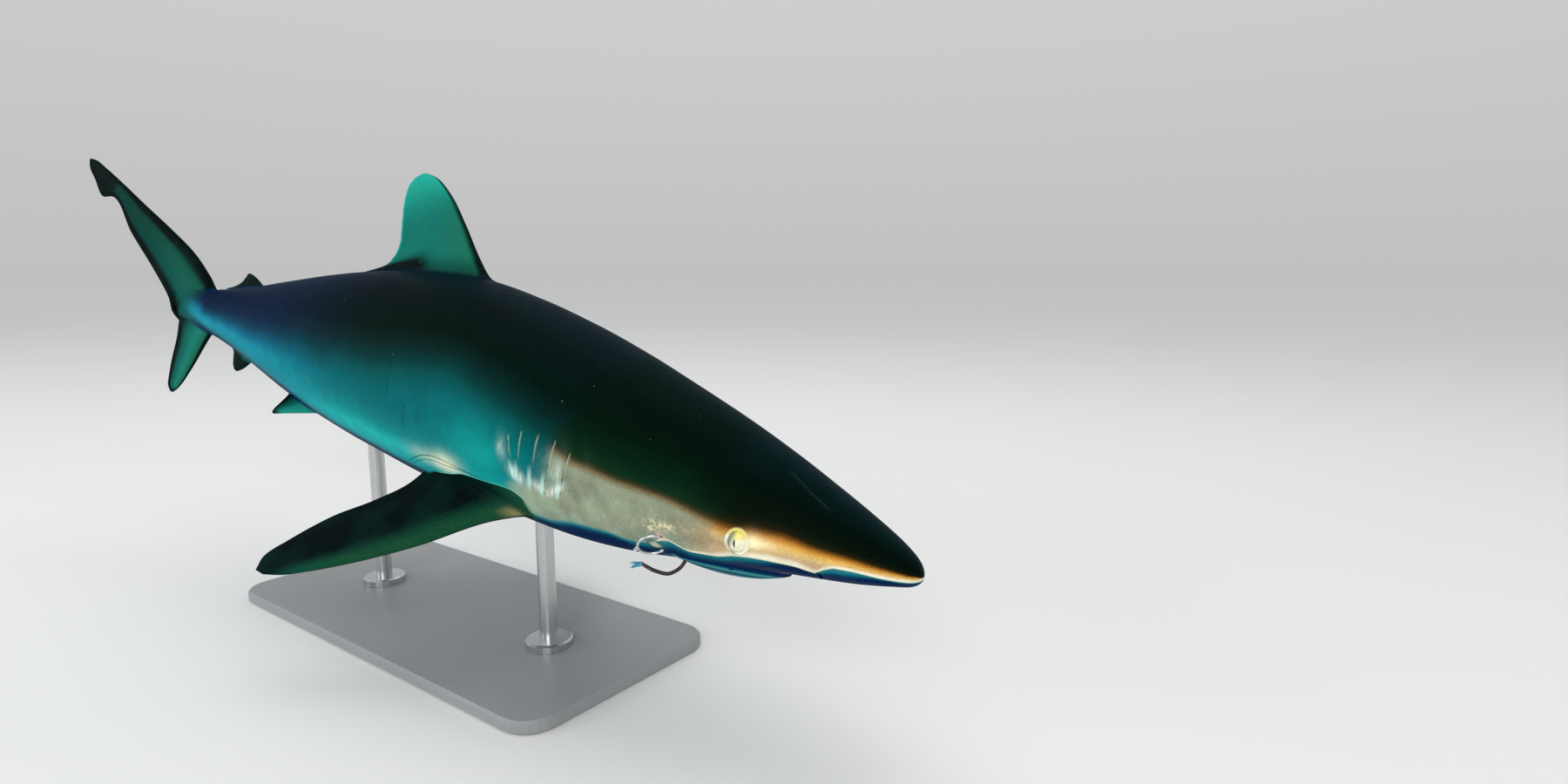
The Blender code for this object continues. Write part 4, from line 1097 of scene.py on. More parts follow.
def fin_fields(mesh, distance):
    """Store how dark, green, bright and pale each place on a fin is."""
    kind = np.round(take(mesh, "fin_kind")).astype(int)
    share, chord, upper = take(mesh, "fin_share"), take(mesh, "fin_chord"), take(mesh, "fin_upper")
    real = (take(mesh, "known") > 0.5) & (kind > 0)
    fin = np.where(real, ease(distance, 0.0, 0.0055), 0.0)
    fields = dusk, leaf, sheen, pale = [np.zeros(len(kind)) for _ in range(4)]
    for name, looks in fin_looks(share, chord, upper).items():
        here = real & (kind == FIN_SPOTS.index(name))
        for field, look in zip(fields, looks):
            field[here] = np.clip(np.broadcast_to(look, kind.shape)[here], 0.0, 1.0)
    station = take(mesh, "station")
    web = ~real & (take(mesh, "axil_line") < 0.006) & (np.abs(station - 0.265) < 0.07)
    dusk[web] = 0.93 - 0.45 * ease(station[web], 0.245, 0.212)
    leaf[web] = 0.6 * ease(station[web], 0.255, 0.215)
    fork = ~real & (station > 0.76)
    dusk[fork] = 0.3 + 0.7 * ease(station[fork], 0.792, 0.81)
    # A painted highlight at the leading edge of each pectoral fin's root, on its upper side.
    root = fin * 0.45 * ease(share, 0.1, 0.01) * ease(chord, 0.12, 0.01)
    put(mesh, fin=fin, dusk=dusk, leaf=leaf, sheen=sheen, fin_pale=pale,
        fin_root=root * (kind == FIN_SPOTS.index("pectoral")) * (upper > 0),
        caudal_line=np.where(real & (kind == FIN_SPOTS.index("caudal_upper")), chord, 2.0))


# ---------------------------------------------------------------- materials
class Value:
    """A number or colour that a material works out; it can be added, multiplied and so on."""

    def __init__(self, paint, socket):
        self.paint, self.socket = paint, socket

    def math(self, operation, *others):
        return self.paint.node("Math", 0, dict(enumerate((self, *others))), operation=operation)

    def __add__(self, other):
        return self.math("ADD", other)

    def __sub__(self, other):
        return self.math("SUBTRACT", other)

    def __mul__(self, other):
        return self.math("MULTIPLY", other)

    def __abs__(self):
        return self.math("ABSOLUTE")

    def scaled(self, gain, shift):
        return self.math("MULTIPLY_ADD", gain, shift)

    def step(self, low, high, top=1.0):
        """0 at low, top at high, smooth between; low may be the larger."""
        start, end = (0.0, top) if low <= high else (top, 0.0)
        reach = {"From Min": min(low, high), "From Max": max(low, high), "To Min": start, "To Max": end}
        return self.paint.node("MapRange", "Result", {"Value": self, **reach},
                               interpolation_type="SMOOTHSTEP")

    def within(self, low, full, end, gone):
        """0 outside low to gone, 1 from full to end, smooth between."""
        return self.step(low, full) * self.step(gone, end)

    def line(self, centre, half, soft):
        """1 within half of centre, fading over soft."""
        return abs(self - centre).step(half + soft, half)

    def ramp(self, stops):
        made = self.paint.node("ValToRGB", "Color", {"Fac": self})
        elements = made.socket.node.color_ramp.elements
        while len(elements) < len(stops):
            elements.new(1.0)
        for element, (place, colour) in zip(elements, stops):
            element.position = place
            element.color = (*colour, 1.0)
        return made


class Paint:
    """A material under construction, whose colour is built up in layers."""

    def __init__(self, name):
        self.material = bpy.data.materials.new(name)
        self.material.use_nodes = True
        self.nodes = self.material.node_tree.nodes
        self.links = self.material.node_tree.links

    def feed(self, value, socket):
        if isinstance(value, Value):
            self.links.new(value.socket, socket)
        elif socket.type == "RGBA":
            socket.default_value = (*value, 1.0)
        else:
            socket.default_value = value

    def node(self, kind, output, inputs, **settings):
        """One output of a new node, with the node's inputs fed and its settings made."""
        node = self.nodes.new("ShaderNode" + kind)
        for name, value in settings.items():
            setattr(node, name, value)
        for name, value in inputs.items():
            self.feed(value, node.inputs[name])
        return Value(self, node.outputs[output])

    def field(self, name):
        return self.node("Attribute", "Fac", {}, attribute_name=name)

    def fields(self, names):
        return [self.field(name) for name in names.split()]

    def blend(self, factor, first, second, kind="MIX"):
        return self.node("Mix", 2, {"Factor": factor, 6: first, 7: second}, data_type="RGBA",
                         blend_type=kind)

    def over(self, *layers):
        """Lay colours over the material's colour, each as (how much, colour)."""
        for factor, colour in layers:
            self.colour = self.blend(factor, self.colour, colour)

    def place(self, stretch=(1.0, 1.0, 1.0)):
        """The piece's own coordinates, stretched."""
        own = self.node("TexCoord", "Object", {})
        return self.node("Mapping", "Vector", {"Vector": own, "Scale": stretch})

    def flow(self, along, around):
        """Coordinates that follow the body: along it and round it."""
        station, rise = self.fields("station rise")
        return self.node("CombineXYZ", "Vector", {"X": station * (along * TOTAL_LENGTH),
                                                  "Y": rise * (around * METRES_FOR_A_DEGREE)})

    def noise(self, scale, detail=2.0, roughness=0.5, place=None):
        return self.node("TexNoise", "Fac", {"Scale": scale, "Detail": detail, "Roughness": roughness,
                                             "Vector": place or self.place()})

    def dots(self, scale, size, share):
        """Scattered round dots: how many cells there are in a metre, dot size and share of cells."""
        gap = self.node("TexVoronoi", "Distance", {"Scale": scale, "Vector": self.place()})
        cell = Value(self, gap.socket.node.outputs["Color"])
        pick = self.node("SeparateColor", "Red", {"Color": cell})
        return gap.step(size, size * 0.4) * pick.math("GREATER_THAN", 1.0 - share)

    def surface(self, roughness, *bumps, metallic=0.0, specular=0.5):
        """The finished material, with bumps of (height, metres, strength), one over the other."""
        inputs = {"Base Color": self.colour, "Roughness": roughness, "Metallic": metallic,
                  "Specular IOR Level": specular}
        below = {}
        for height, metres, strength in bumps:
            bump = {"Height": height, "Distance": metres, "Strength": strength, **below}
            below = {"Normal": self.node("Bump", "Normal", bump)}
        for name, value in {**inputs, **below}.items():
            self.feed(value, self.nodes["Principled BSDF"].inputs[name])
        return self.material


# Colours round the body: 0 is the belly, 0.5 the mid flank and 1 the back, with the lower edge of
# the dark back at 0.556. The brightest teal low on the trunk and tail is a painted highlight, and the
# bluer tone towards 1 a painted sheen on the back.
SNOUT_ROUND = (
    (0.0, (0.8, 0.76, 0.56)), (0.36, (0.7, 0.5, 0.27)), (0.42, (0.6, 0.42, 0.22)),
    (0.465, (0.74, 0.52, 0.21)), (0.498, (0.78, 0.46, 0.11)), (0.522, (0.52, 0.22, 0.03)),
    (0.542, (0.135, 0.052, 0.006)), (0.558, (0.012, 0.011, 0.003)), (0.6, (0.0015, 0.005, 0.002)),
    (0.72, (0.0005, 0.0035, 0.002)), (0.86, (0.0005, 0.007, 0.008)), (1.0, (0.0006, 0.013, 0.018)),
)
HEAD_ROUND = (
    (0.0, (0.28, 0.39, 0.33)), (0.28, (0.31, 0.42, 0.31)), (0.39, (0.33, 0.39, 0.27)),
    (0.46, (0.29, 0.36, 0.25)), (0.524, (0.26, 0.31, 0.215)), (0.538, (0.19, 0.155, 0.075)),
    (0.549, (0.04, 0.034, 0.012)), (0.56, (0.003, 0.026, 0.01)), (0.6, (0.001, 0.016, 0.006)),
    (0.68, (0.0005, 0.006, 0.0025)), (0.78, (0.0004, 0.0035, 0.002)), (0.9, (0.0005, 0.007, 0.006)),
    (1.0, (0.0006, 0.011, 0.015)),
)
TRUNK_ROUND = (
    (0.0, (0.006, 0.26, 0.3)), (0.23, (0.008, 0.38, 0.4)), (0.3, (0.01, 0.47, 0.46)),
    (0.36, (0.004, 0.24, 0.25)), (0.43, (0.002, 0.145, 0.16)), (0.49, (0.001, 0.12, 0.132)),
    (0.535, (0.001, 0.076, 0.078)), (0.565, (0.0008, 0.038, 0.037)), (0.6, (0.0006, 0.017, 0.015)),
    (0.65, (0.0005, 0.006, 0.0045)), (0.78, (0.0005, 0.0045, 0.005)), (1.0, (0.0008, 0.011, 0.02)),
)
TAIL_ROUND = (
    (0.0, (0.003, 0.09, 0.19)), (0.3, (0.004, 0.15, 0.25)), (0.36, (0.004, 0.27, 0.36)),
    (0.43, (0.004, 0.27, 0.37)), (0.49, (0.003, 0.16, 0.26)), (0.53, (0.002, 0.085, 0.16)),
    (0.556, (0.001, 0.045, 0.096)), (0.6, (0.0008, 0.017, 0.056)), (0.67, (0.0006, 0.008, 0.036)),
    (0.8, (0.0006, 0.008, 0.034)), (0.9, (0.0006, 0.011, 0.045)), (1.0, (0.0008, 0.017, 0.065)),
)
# Painted shade of the underside, by how far below the keel: teal near it, navy further down.
SHADED_UNDERSIDE = (
    (0.0, (0.022, 0.27, 0.29)), (0.3, (0.009, 0.17, 0.21)), (0.6, (0.003, 0.045, 0.1)),
    (1.0, (0.001, 0.016, 0.07)),
)
PALE_BELLY = (0.3, 0.47, 0.52)
METRES_FOR_A_DEGREE = 0.0024
# Scratches on the right flank: both ends as (station, angle), width, strength and colour.
DARK_SCRATCH = (0.002, 0.02, 0.03)
SCRATCHES = (
    ((0.356, 17.0), (0.351, 6.0), 0.0016, 0.75, DARK_SCRATCH),
    ((0.352, 7.0), (0.3475, -4.0), 0.0016, 0.75, DARK_SCRATCH),
    ((0.3252, -2.0), (0.324, -22.0), 0.0016, 0.75, DARK_SCRATCH),
    ((0.48, -15.4), (0.4545, -18.4), 0.0012, 0.35, (0.1, 0.3, 0.28)),
    ((0.078, 66.0), (0.0455, 50.0), 0.0045, 0.065, (0.06, 0.17, 0.16)),
)


def paint_body(paint, grain):
    """Countershading, keel, a rim that is partly painted highlight, and the underside in painted shade."""
    station, rise, rim = paint.fields("station rise rim")
    swing = paint.noise(9.0, 3.0).scaled(0.05, -0.025)
    speck = (grain - 0.5) * station.step(0.2, 0.15).scaled(0.022, 0.012)
    lift = paint.field("lift") + swing + speck
    wander = station + paint.noise(22.0, 3.0).scaled(0.03, -0.015)
    side = paint.blend(wander.step(0.086, 0.114), lift.ramp(SNOUT_ROUND), lift.ramp(HEAD_ROUND))
    rear = wander - rise.step(-6.0, -30.0) * 0.03
    side = paint.blend(rear.step(0.178, 0.2), side, lift.ramp(TRUNK_ROUND))
    paint.colour = paint.blend(station.step(0.38, 0.6), side, lift.ramp(TAIL_ROUND))
    paint_patches(paint, grain)
    # The pale rim along the keel is partly the skin's own pale edge and partly a painted highlight.
    edge = rim.within(-0.16, 0.14, 0.35, 1.45) * station.step(0.142, 0.12)
    paint.over((edge, (0.9, 0.88, 0.68)))
    fine, broad = paint.noise(430.0, 3.0, 0.65), paint.noise(36.0, 4.0, 0.6)
    tone = fine.scaled(0.6, 0.62) * broad.scaled(0.6, 0.7)
    paint.colour = paint.blend(1.0, paint.colour, tone, "MULTIPLY")
    # Below the keel, painted shade of the underside, with the pale belly along its middle.
    middle = rise.step(-70.0, -88.0, 0.9) * station.step(0.74, 0.66)
    under = paint.blend(middle, paint.field("under").ramp(SHADED_UNDERSIDE), PALE_BELLY)
    paint.over((grain.step(0.5, 0.75) * lift.step(0.56, 0.6) * 0.3, (0.005, 0.034, 0.02)),
               (paint.field("keel").step(0.4, -0.9), under))


def paint_patches(paint, grain):
    """Soft patches on the head, gills and flank."""
    station, lift, taupe, shade, glow, bright, white, axil, scuff = paint.fields(
        "station lift taupe shade glow bright white axil scuff")
    streak = paint.noise(1.0, 3.0, 0.6, paint.flow(300.0, 26.0))
    fleck = paint.noise(170.0, 3.0, 0.65)
    mottle = (paint.noise(26.0, 4.0, 0.6) + streak * 0.35).step(0.55, 0.85)
    mottle = mottle * station.within(0.06, 0.085, 0.185, 0.205) * lift.step(0.535, 0.49)
    warm = station.step(0.2, 0.1) * lift.step(0.575, 0.545)
    low = warm * lift.step(0.53, 0.48)
    # glow is a painted highlight ahead of the eye.
    paint.over((taupe * 0.85, (0.26, 0.175, 0.105)),
               (mottle * 0.45, (0.2, 0.18, 0.135)),
               (grain.step(0.5, 0.72) * warm * 0.42, (0.16, 0.09, 0.04)),
               (fleck.step(0.5, 0.75) * low * 0.3, (0.62, 0.6, 0.44)),
               (shade * fleck.step(0.2, 0.6), (0.13, 0.17, 0.12)),
               (glow, (1.0, 0.93, 0.55)),
               (bright, (0.008, 0.44, 0.4)),
               (white * streak.step(0.3, 0.58), (0.82, 0.93, 0.88)),
               (axil * fleck.step(0.12, 0.45), (0.86, 0.93, 0.68)),
               (scuff * fleck.step(0.42, 0.6), (0.82, 0.78, 0.5)))


def paint_mouth(paint):
    """Jaw, lips and the shadowed mouth line."""
    mouth, near = paint.field("mouth"), paint.field("station").step(0.132, 0.119)
    dark, teal, shine = (0.001, 0.016, 0.08), (0.004, 0.085, 0.13), (0.05, 0.27, 0.29)
    # Painted shade: navy over and on the mouth line, teal on the jaw; shine is a painted highlight along
    # the jaw, and the spot a painted shadow on the lip's fold.
    paint.over((mouth.step(0.0028, 0.0005, 0.75) * near, dark),
               (mouth.step(0.0005, -0.0015) * near, dark),
               (mouth.step(-0.005, -0.012) * near, teal),
               (mouth.line(-0.0135, 0.0008, 0.004) * near, shine),
               (mouth.step(-0.02, -0.036, 0.8) * near, PALE_BELLY),
               (mouth.line(-0.0003, 0.0008, 0.0008) * near, (0.002, 0.006, 0.025)),
               (paint.field("jaw_shadow").step(0.3, 0.6), (0.002, 0.012, 0.05)))


def paint_gills(paint):
    """A dark line in each slit, a light edge on the flap before it and a pale stroke behind it."""
    share = paint.field("gill_share")
    inside = share.within(-0.04, 0.04, 0.96, 1.04)
    top = share.step(0.55, 0.1, 0.45) + share.step(0.55, 0.95, 0.25)
    low = share.within(0.45, 0.8, 0.9, 1.12)
    for number in range(len(GILL_SLITS)):
        gap = paint.field(f"gill_{number}")
        # The dark line is painted shade in the slit, and the pale stroke low behind it a painted highlight.
        paint.over((gap.line(-0.002, 0.0005, 0.002) * inside * top, (0.44, 0.44, 0.3)),
                   (gap.line(0.0003, 0.0006, 0.001) * inside * 0.95, (0.004, 0.03, 0.028)),
                   (gap.line(0.0042, 0.001, 0.004) * low * 0.6, (0.5, 0.82, 0.74)))


def paint_lids(paint):
    """Cream lids with a yellow upper part, and painted shade in the thin folds round them."""
    ahead, above = paint.fields("eye_ahead eye_above")

    def reach(wide, tall):
        x, y = ahead * (1000.0 / wide), above * (1000.0 / tall)
        return (x * x + y * y).math("SQRT")

    inner, outer = (reach(*ends) for ends in zip(LID_WIDE, LID_TALL))
    yellow = above.step(0.004, 0.012) * outer.step(16.8, 15.5)
    ring = paint.blend(yellow * 0.75, (0.86, 0.85, 0.64), (0.74, 0.62, 0.07))
    rear = ahead.step(0.01, -0.004, 0.75) + 0.2
    low = ahead.step(0.004, -0.004) * above.step(0.003, -0.003)
    paint.over((outer.step(16.9, 15.9), ring),
               (outer.line(15.95, 0.12, 0.38) * rear, (0.085, 0.08, 0.024)),
               (inner.line(13.3, 0.1, 0.35) * low * 0.85, (0.1, 0.1, 0.035)),
               (inner.step(12.05, 11.75, 0.9), (0.06, 0.062, 0.022)))


def stroke(paint, start, end, width):
    """A thin scratch between two (station, angle) places on the right flank."""
    scale = np.array((TOTAL_LENGTH, METRES_FOR_A_DEGREE))
    first = start * scale
    way = end * scale - first
    length = math.hypot(*way)
    back, up = way / length
    station, rise, right = paint.fields("station rise right")
    x, y = station * TOTAL_LENGTH - first[0], rise * METRES_FOR_A_DEGREE - first[1]
    along = x * back + y * up
    across = x * up - y * back + paint.noise(35.0, 1.0).scaled(0.004, -0.002)
    inside = along.within(0.0, length * 0.2, length * 0.8, length) * right
    return across.line(0.0, width * 0.15, width * 0.85) * inside


def paint_scars(paint):
    """Hook wound, folds at the pectoral fin, old scratches and the specks on the back."""
    swollen, lip, tear, station, rise, edge = paint.fields("swollen lip tear station rise axil_line")
    # glint is a painted highlight along the pectoral fin's root.
    glint = edge.line(0.0016, 0.0006, 0.0022) * station.within(0.206, 0.212, 0.27, 0.305)
    paint.over((swollen.step(0.04, 0.3, 0.7), (0.02, 0.12, 0.13)),
               (swollen.step(0.36, 0.92, 0.9), (0.52, 0.48, 0.38)),
               (lip * 0.95, (0.86, 0.62, 0.52)),
               (tear.step(0.35, 0.65), (0.02, 0.006, 0.005)),
               (glint * 0.12, (0.3, 0.8, 0.72)))
    inside = station.within(0.236, 0.256, 0.325, 0.348)
    # Dark lines of painted shade along the two folds.
    for fold, dark in zip(paint.fields("fold low_fold"), (0.8, 0.6)):
        paint.over((fold.line(0.0, 0.0004, 0.0012) * inside * dark, (0.008, 0.09, 0.08)))
    for start, end, width, strength, colour in SCRATCHES:
        paint.over((stroke(paint, start, end, width) * strength, colour))
    back = paint.dots(38.0, 0.045, 0.45) * rise.step(-8.0, 12.0) * station.step(0.04, 0.1)
    paint.over((back * 0.38, (0.3, 0.42, 0.34)))


def paint_fins(paint, grain):
    """Fins: dusky edges and tips, green and bright parts, and pale undersides."""
    fin, sheen, leaf, pale, dusk, chord, root, station, edge, rise = paint.fields(
        "fin sheen leaf fin_pale dusk caudal_line fin_root station axil_line rise")
    cloud, body = paint.noise(16.0, 4.0, 0.6), paint.colour
    fleck = paint.noise(560.0, 2.0, 0.6).step(0.58, 0.76) * (leaf + 0.1)
    # glitter, like sheen, is painted sheen; root is a painted highlight where the pectoral fins meet the
    # body.
    glitter = paint.noise(420.0, 3.0, 0.65).step(0.5, 0.76) * sheen
    paint.colour = paint.blend(cloud, (0.002, 0.082, 0.07), (0.004, 0.15, 0.115))
    paint.over((sheen, (0.02, 0.47, 0.37)),
               (leaf * 0.75, (0.022, 0.13, 0.022)),
               (pale, (0.34, 0.5, 0.48)),
               (dusk + (cloud - 0.5) * 0.35 * dusk, (0.0008, 0.0034, 0.0038)),
               (fleck * 0.5, (0.1, 0.24, 0.07)),
               (chord.line(0.74, 0.006, 0.022) * 0.4, (0.002, 0.01, 0.015)),
               (grain.step(0.48, 0.72) * 0.3, (0.0, 0.02, 0.016)),
               (glitter * 0.35, (0.1, 0.66, 0.52)),
               (root, (0.5, 0.4, 0.17)))
    web = edge.step(0.0008, -0.001) * rise.step(-64.0, -54.0) * station.within(0.208, 0.2125, 0.312, 0.319)
    fin = fin.math("MAXIMUM", web.math("MAXIMUM", station.step(0.742, 0.8)))
    paint.colour = paint.blend(fin, body, paint.colour)


def skin_material():
    paint = Paint("shark_skin")
    grain = paint.noise(1300.0, 2.0, 0.6)
    paint_body(paint, grain)
    paint_mouth(paint)
    paint_gills(paint)
    paint_scars(paint)
    paint_lids(paint)
    paint_fins(paint, grain)
    # Painted shade inside the gill slits, mouth and nostrils, on the cutters' faces.
    paint.over((paint.field("inner").step(0.15, 0.7), (0.003, 0.006, 0.007)))
    scales = paint.noise(1.0, 2.0, 0.6, paint.place((900.0, 900.0, 900.0)))
    creases = paint.noise(1.0, 3.0, 0.55, paint.flow(30.0, 110.0))
    return paint.surface(paint.noise(60.0, 3.0).scaled(0.18, 0.4), (creases, 0.0008, 0.1),
                         (scales, 0.00025, 0.45), specular=0.01)


def eye_material():
    """Pale iris, yellow above and in grey-green painted shade behind, with an upright slit pupil."""
    paint = Paint("shark_eye")
    ahead, above = paint.fields("ahead above")
    threads = paint.noise(1.0, 3.0, 0.6, paint.place((420.0, 420.0, 900.0)))
    paint.colour = paint.blend(threads.step(0.35, 0.7), (0.9, 0.88, 0.7), (0.78, 0.74, 0.5))
    high = (above + threads * 0.003).step(0.004, 0.01)
    # Painted shade over the rear of the iris.
    rear = (ahead - above * 0.25).step(-0.0022, -0.008)
    across = (ahead - above * PUPIL_SLANT - PUPIL_PLACE[0]) * (1.0 / PUPIL_HALF[0])
    upright = (above - PUPIL_PLACE[1]) * (1.0 / PUPIL_HALF[1])
    reach = abs(across - upright * upright * PUPIL_BOW) + upright * upright
    paint.over((high * 0.85, (0.8, 0.7, 0.1)),
               (rear * 0.9, (0.12, 0.17, 0.12)),
               (paint.noise(900.0, 2.0).step(0.56, 0.7) * high * 0.6, (0.28, 0.22, 0.03)),
               (reach.step(1.9, 1.15, 0.55), (0.3, 0.3, 0.2)),
               (reach.step(1.12, 0.95), (0.001, 0.001, 0.001)))
    return paint.surface(0.12, specular=0.32)


def steel_material(name, light, dark, roughness, stain=(0.0, 0.0, 0.0), stained=0.0):
    """Wire with fine drawing marks and, if asked, stains."""
    paint = Paint(name)
    marks, metal = paint.noise(900.0, 3.0, 0.6), 1.0
    paint.colour = paint.blend(marks, dark, light)
    if stained:
        patch = paint.noise(240.0, 4.0, 0.65).step(0.62 - 0.3 * stained, 0.7)
        paint.over((patch, stain))
        metal = patch.step(1.0, 0.0, 0.9)
    return paint.surface(marks.scaled(0.22, roughness - 0.08), (marks, 0.0001, 0.3), metallic=metal)


def sleeve_material():
    paint = Paint("blue_sleeve")
    fibre = paint.noise(700.0, 3.0, 0.6)
    paint.colour = paint.blend(fibre.step(0.3, 0.7), (0.01, 0.16, 0.3), (0.09, 0.42, 0.55))
    return paint.surface(0.6, (fibre, 0.0002, 0.5))


def board_material():
    """Satin grey paint with the faint texture of a roller."""
    paint = Paint("stand_paint")
    roller = paint.noise(420.0, 2.0, 0.6)
    paint.colour = paint.blend(paint.noise(5.0, 3.0), (0.235, 0.245, 0.255), (0.3, 0.31, 0.32))
    return paint.surface(roller.scaled(0.16, 0.34), (roller, 0.0002, 0.35))


def rod_material():
    """Steel brushed round the rods."""
    paint = Paint("stand_steel")
    brushed = paint.noise(1.0, 4.0, 0.65, paint.place((30.0, 30.0, 1400.0)))
    paint.colour = paint.blend(brushed, (0.42, 0.43, 0.44), (0.66, 0.67, 0.68))
    return paint.surface(brushed.scaled(0.2, 0.24), (brushed, 0.0001, 0.25), metallic=1.0)


# ---------------------------------------------------------------- eyes
# The pupil's place ahead of and above the ball's middle, its half width and height, and its slant.
PUPIL_PLACE, PUPIL_HALF, PUPIL_SLANT = (-0.0016, 0.0003), (0.001, 0.0052), -0.08
PUPIL_BOW = 0.5
CORNEA_RISE, CORNEA_REACH = 0.0005, 0.0085
WHOLE_MAP = (0.02, 0.02, 0.98, 0.98)


def make_eye(side):
    """An eyeball with a low cornea, in the lids' opening."""
    _, outward, ahead, upward, centre = eye_axes(side)
    item = ball("eye", np.zeros(3), EYE_RADIUS, 96, 64, WHOLE_MAP)
    points = places_of(item.data)
    away = np.linalg.norm(points - outward * (points @ outward)[:, None], axis=1)
    front = points @ outward > 0
    points = points * (1 + front * CORNEA_RISE / EYE_RADIUS * bell(away, CORNEA_REACH))[:, None]
    put(item.data, ahead=points @ ahead, above=points @ upward)
    item.data.vertices.foreach_set("co", (points + centre).ravel())
    item.data.update()
    return item


# ---------------------------------------------------------------- hooks
CIRCLE_HOOK_SKIN = (0.1266, -37.0)
CIRCLE_HOOK_RADIUS, CIRCLE_HOOK_WIRE, CIRCLE_HOOK_LIFT = 0.0165, 0.0016, 0.0045
CIRCLE_HOOK_TILT_DEG, CIRCLE_HOOK_ARC_DEG = 28.5, (-172.0, 122.0)
HOOK_EYE_RADIUS, HOOK_EYE_WIRE = 0.0022, 0.0009
CIRCLE_HOOK_POINTS, HOOK_EYE_POINTS = 97, 40
SHANK_HOOK_SKIN = (0.118, -66.0)
SHANK_STRETCH, SLEEVE_DROOP = 1.1, 0.55
SHANK_TRAIL, SHANK_DROP = (0.85, 0.46, -0.32), (0.0, 0.22, -1.0)
SHANK_LINE = ((-0.004, -0.014), (0.0, 0.0), (0.008, 0.0115), (0.02, 0.0165), (0.033, 0.0125),
              (0.047, 0.0035))
SHANK_WIRE, SHANK_START, SHANK_POINTS, SHANK_THINNING = 0.0022, 0.16, 80, 0.1
SLEEVE_LENGTH, SLEEVE_RADIUS, SLEEVE_OVERLAP, SLEEVE_ROWS = 0.012, 0.0028, 0.0008, 16
FRAYS, FRAY_WIDTH = 13, 0.0009
# Each a least value and what chance adds to it: the sleeve's radius in shares of SLEEVE_RADIUS, a
# strip's length and start in shares of SLEEVE_LENGTH, and how far its end bends out, in metres.
SLEEVE_ROUGHNESS, FRAY_LENGTH, FRAY_START = (0.85, 0.28), (0.45, 0.5), (0.25, 0.35)
FRAY_BEND, FRAY_SAG = (0.001, 0.0022), 0.003


def tube(name, line, radii, sides=18, ring=False):
    """A round bar along a line of points, with its own radius at each, or a closed ring of it."""
    rows = []
    across = None
    count = len(line)
    for i, point in enumerate(line):
        after = line[(i + 1) % count] if ring else line[min(i + 1, count - 1)]
        before = line[i - 1] if ring else line[max(i - 1, 0)]
        along = unit(after - before)
        if across is None:
            across = unit(np.cross(along, (0.3, 0.5, 0.8)))
        across = unit(across - along * (across @ along))
        rows.append(point + radii[i] * circle(sides, across, np.cross(along, across)))
    return shell(name, np.array(rows), WHOLE_MAP, ends="ring" if ring else "fan")


def join(name, items):
    """One piece from several."""
    shape = bmesh.new()
    for item in items:
        shape.from_mesh(item.data)
        bpy.data.objects.remove(item)
    mesh = bpy.data.meshes.new(name)
    shape.to_mesh(mesh)
    shape.free()
    return add_object(name, mesh)


def make_circle_hook():
    station, angle = CIRCLE_HOOK_SKIN
    normal = skin_normal(station, angle)
    back = SPINE.direction(station, 1.0, 0.0, 0.0)
    back = unit(back - normal * (back @ normal))
    down = unit(np.cross(back, normal))
    down = -down if down[2] > 0 else down
    tilt = math.radians(CIRCLE_HOOK_TILT_DEG)
    outward = back * math.cos(tilt) + normal * math.sin(tilt)
    centre = skin_point(station, angle) + normal * CIRCLE_HOOK_LIFT
    turn = np.radians(np.linspace(*CIRCLE_HOOK_ARC_DEG, CIRCLE_HOOK_POINTS))[:, None]
    line = centre + CIRCLE_HOOK_RADIUS * (np.cos(turn) * outward + np.sin(turn) * down)
    bar = tube("ring", line, np.full(len(line), CIRCLE_HOOK_WIRE))
    eye_centre = centre + (CIRCLE_HOOK_RADIUS + HOOK_EYE_RADIUS) * outward
    line = eye_centre + HOOK_EYE_RADIUS * circle(HOOK_EYE_POINTS, outward, normal)
    eye = tube("eye", line, np.full(len(line), HOOK_EYE_WIRE), 14, ring=True)
    return join("circle_hook", [bar, eye])


def make_shank_hook():
    """The dark hook's shank and, past its end, the frayed sleeve."""
    station, angle = SHANK_HOOK_SKIN
    root = skin_point(station, angle)
    trail = unit(SPINE.direction(station, *SHANK_TRAIL))
    drop = SPINE.direction(station, *SHANK_DROP)
    drop = unit(drop - trail * (drop @ trail))
    share = np.linspace(SHANK_START, 1.0, SHANK_POINTS)
    place = smooth_line(SHANK_LINE)(share)
    line = root + place[:, :1] * SHANK_STRETCH * trail + place[:, 1:] * drop
    shank = tube("shank_hook", line, SHANK_WIRE * (1 - SHANK_THINNING * ease(share, 0.9, 1.0)), 20)
    way = unit(unit(line[-1] - line[-2]) + drop * SLEEVE_DROOP)
    return shank, make_sleeve(line[-1] - way * SLEEVE_OVERLAP, way)


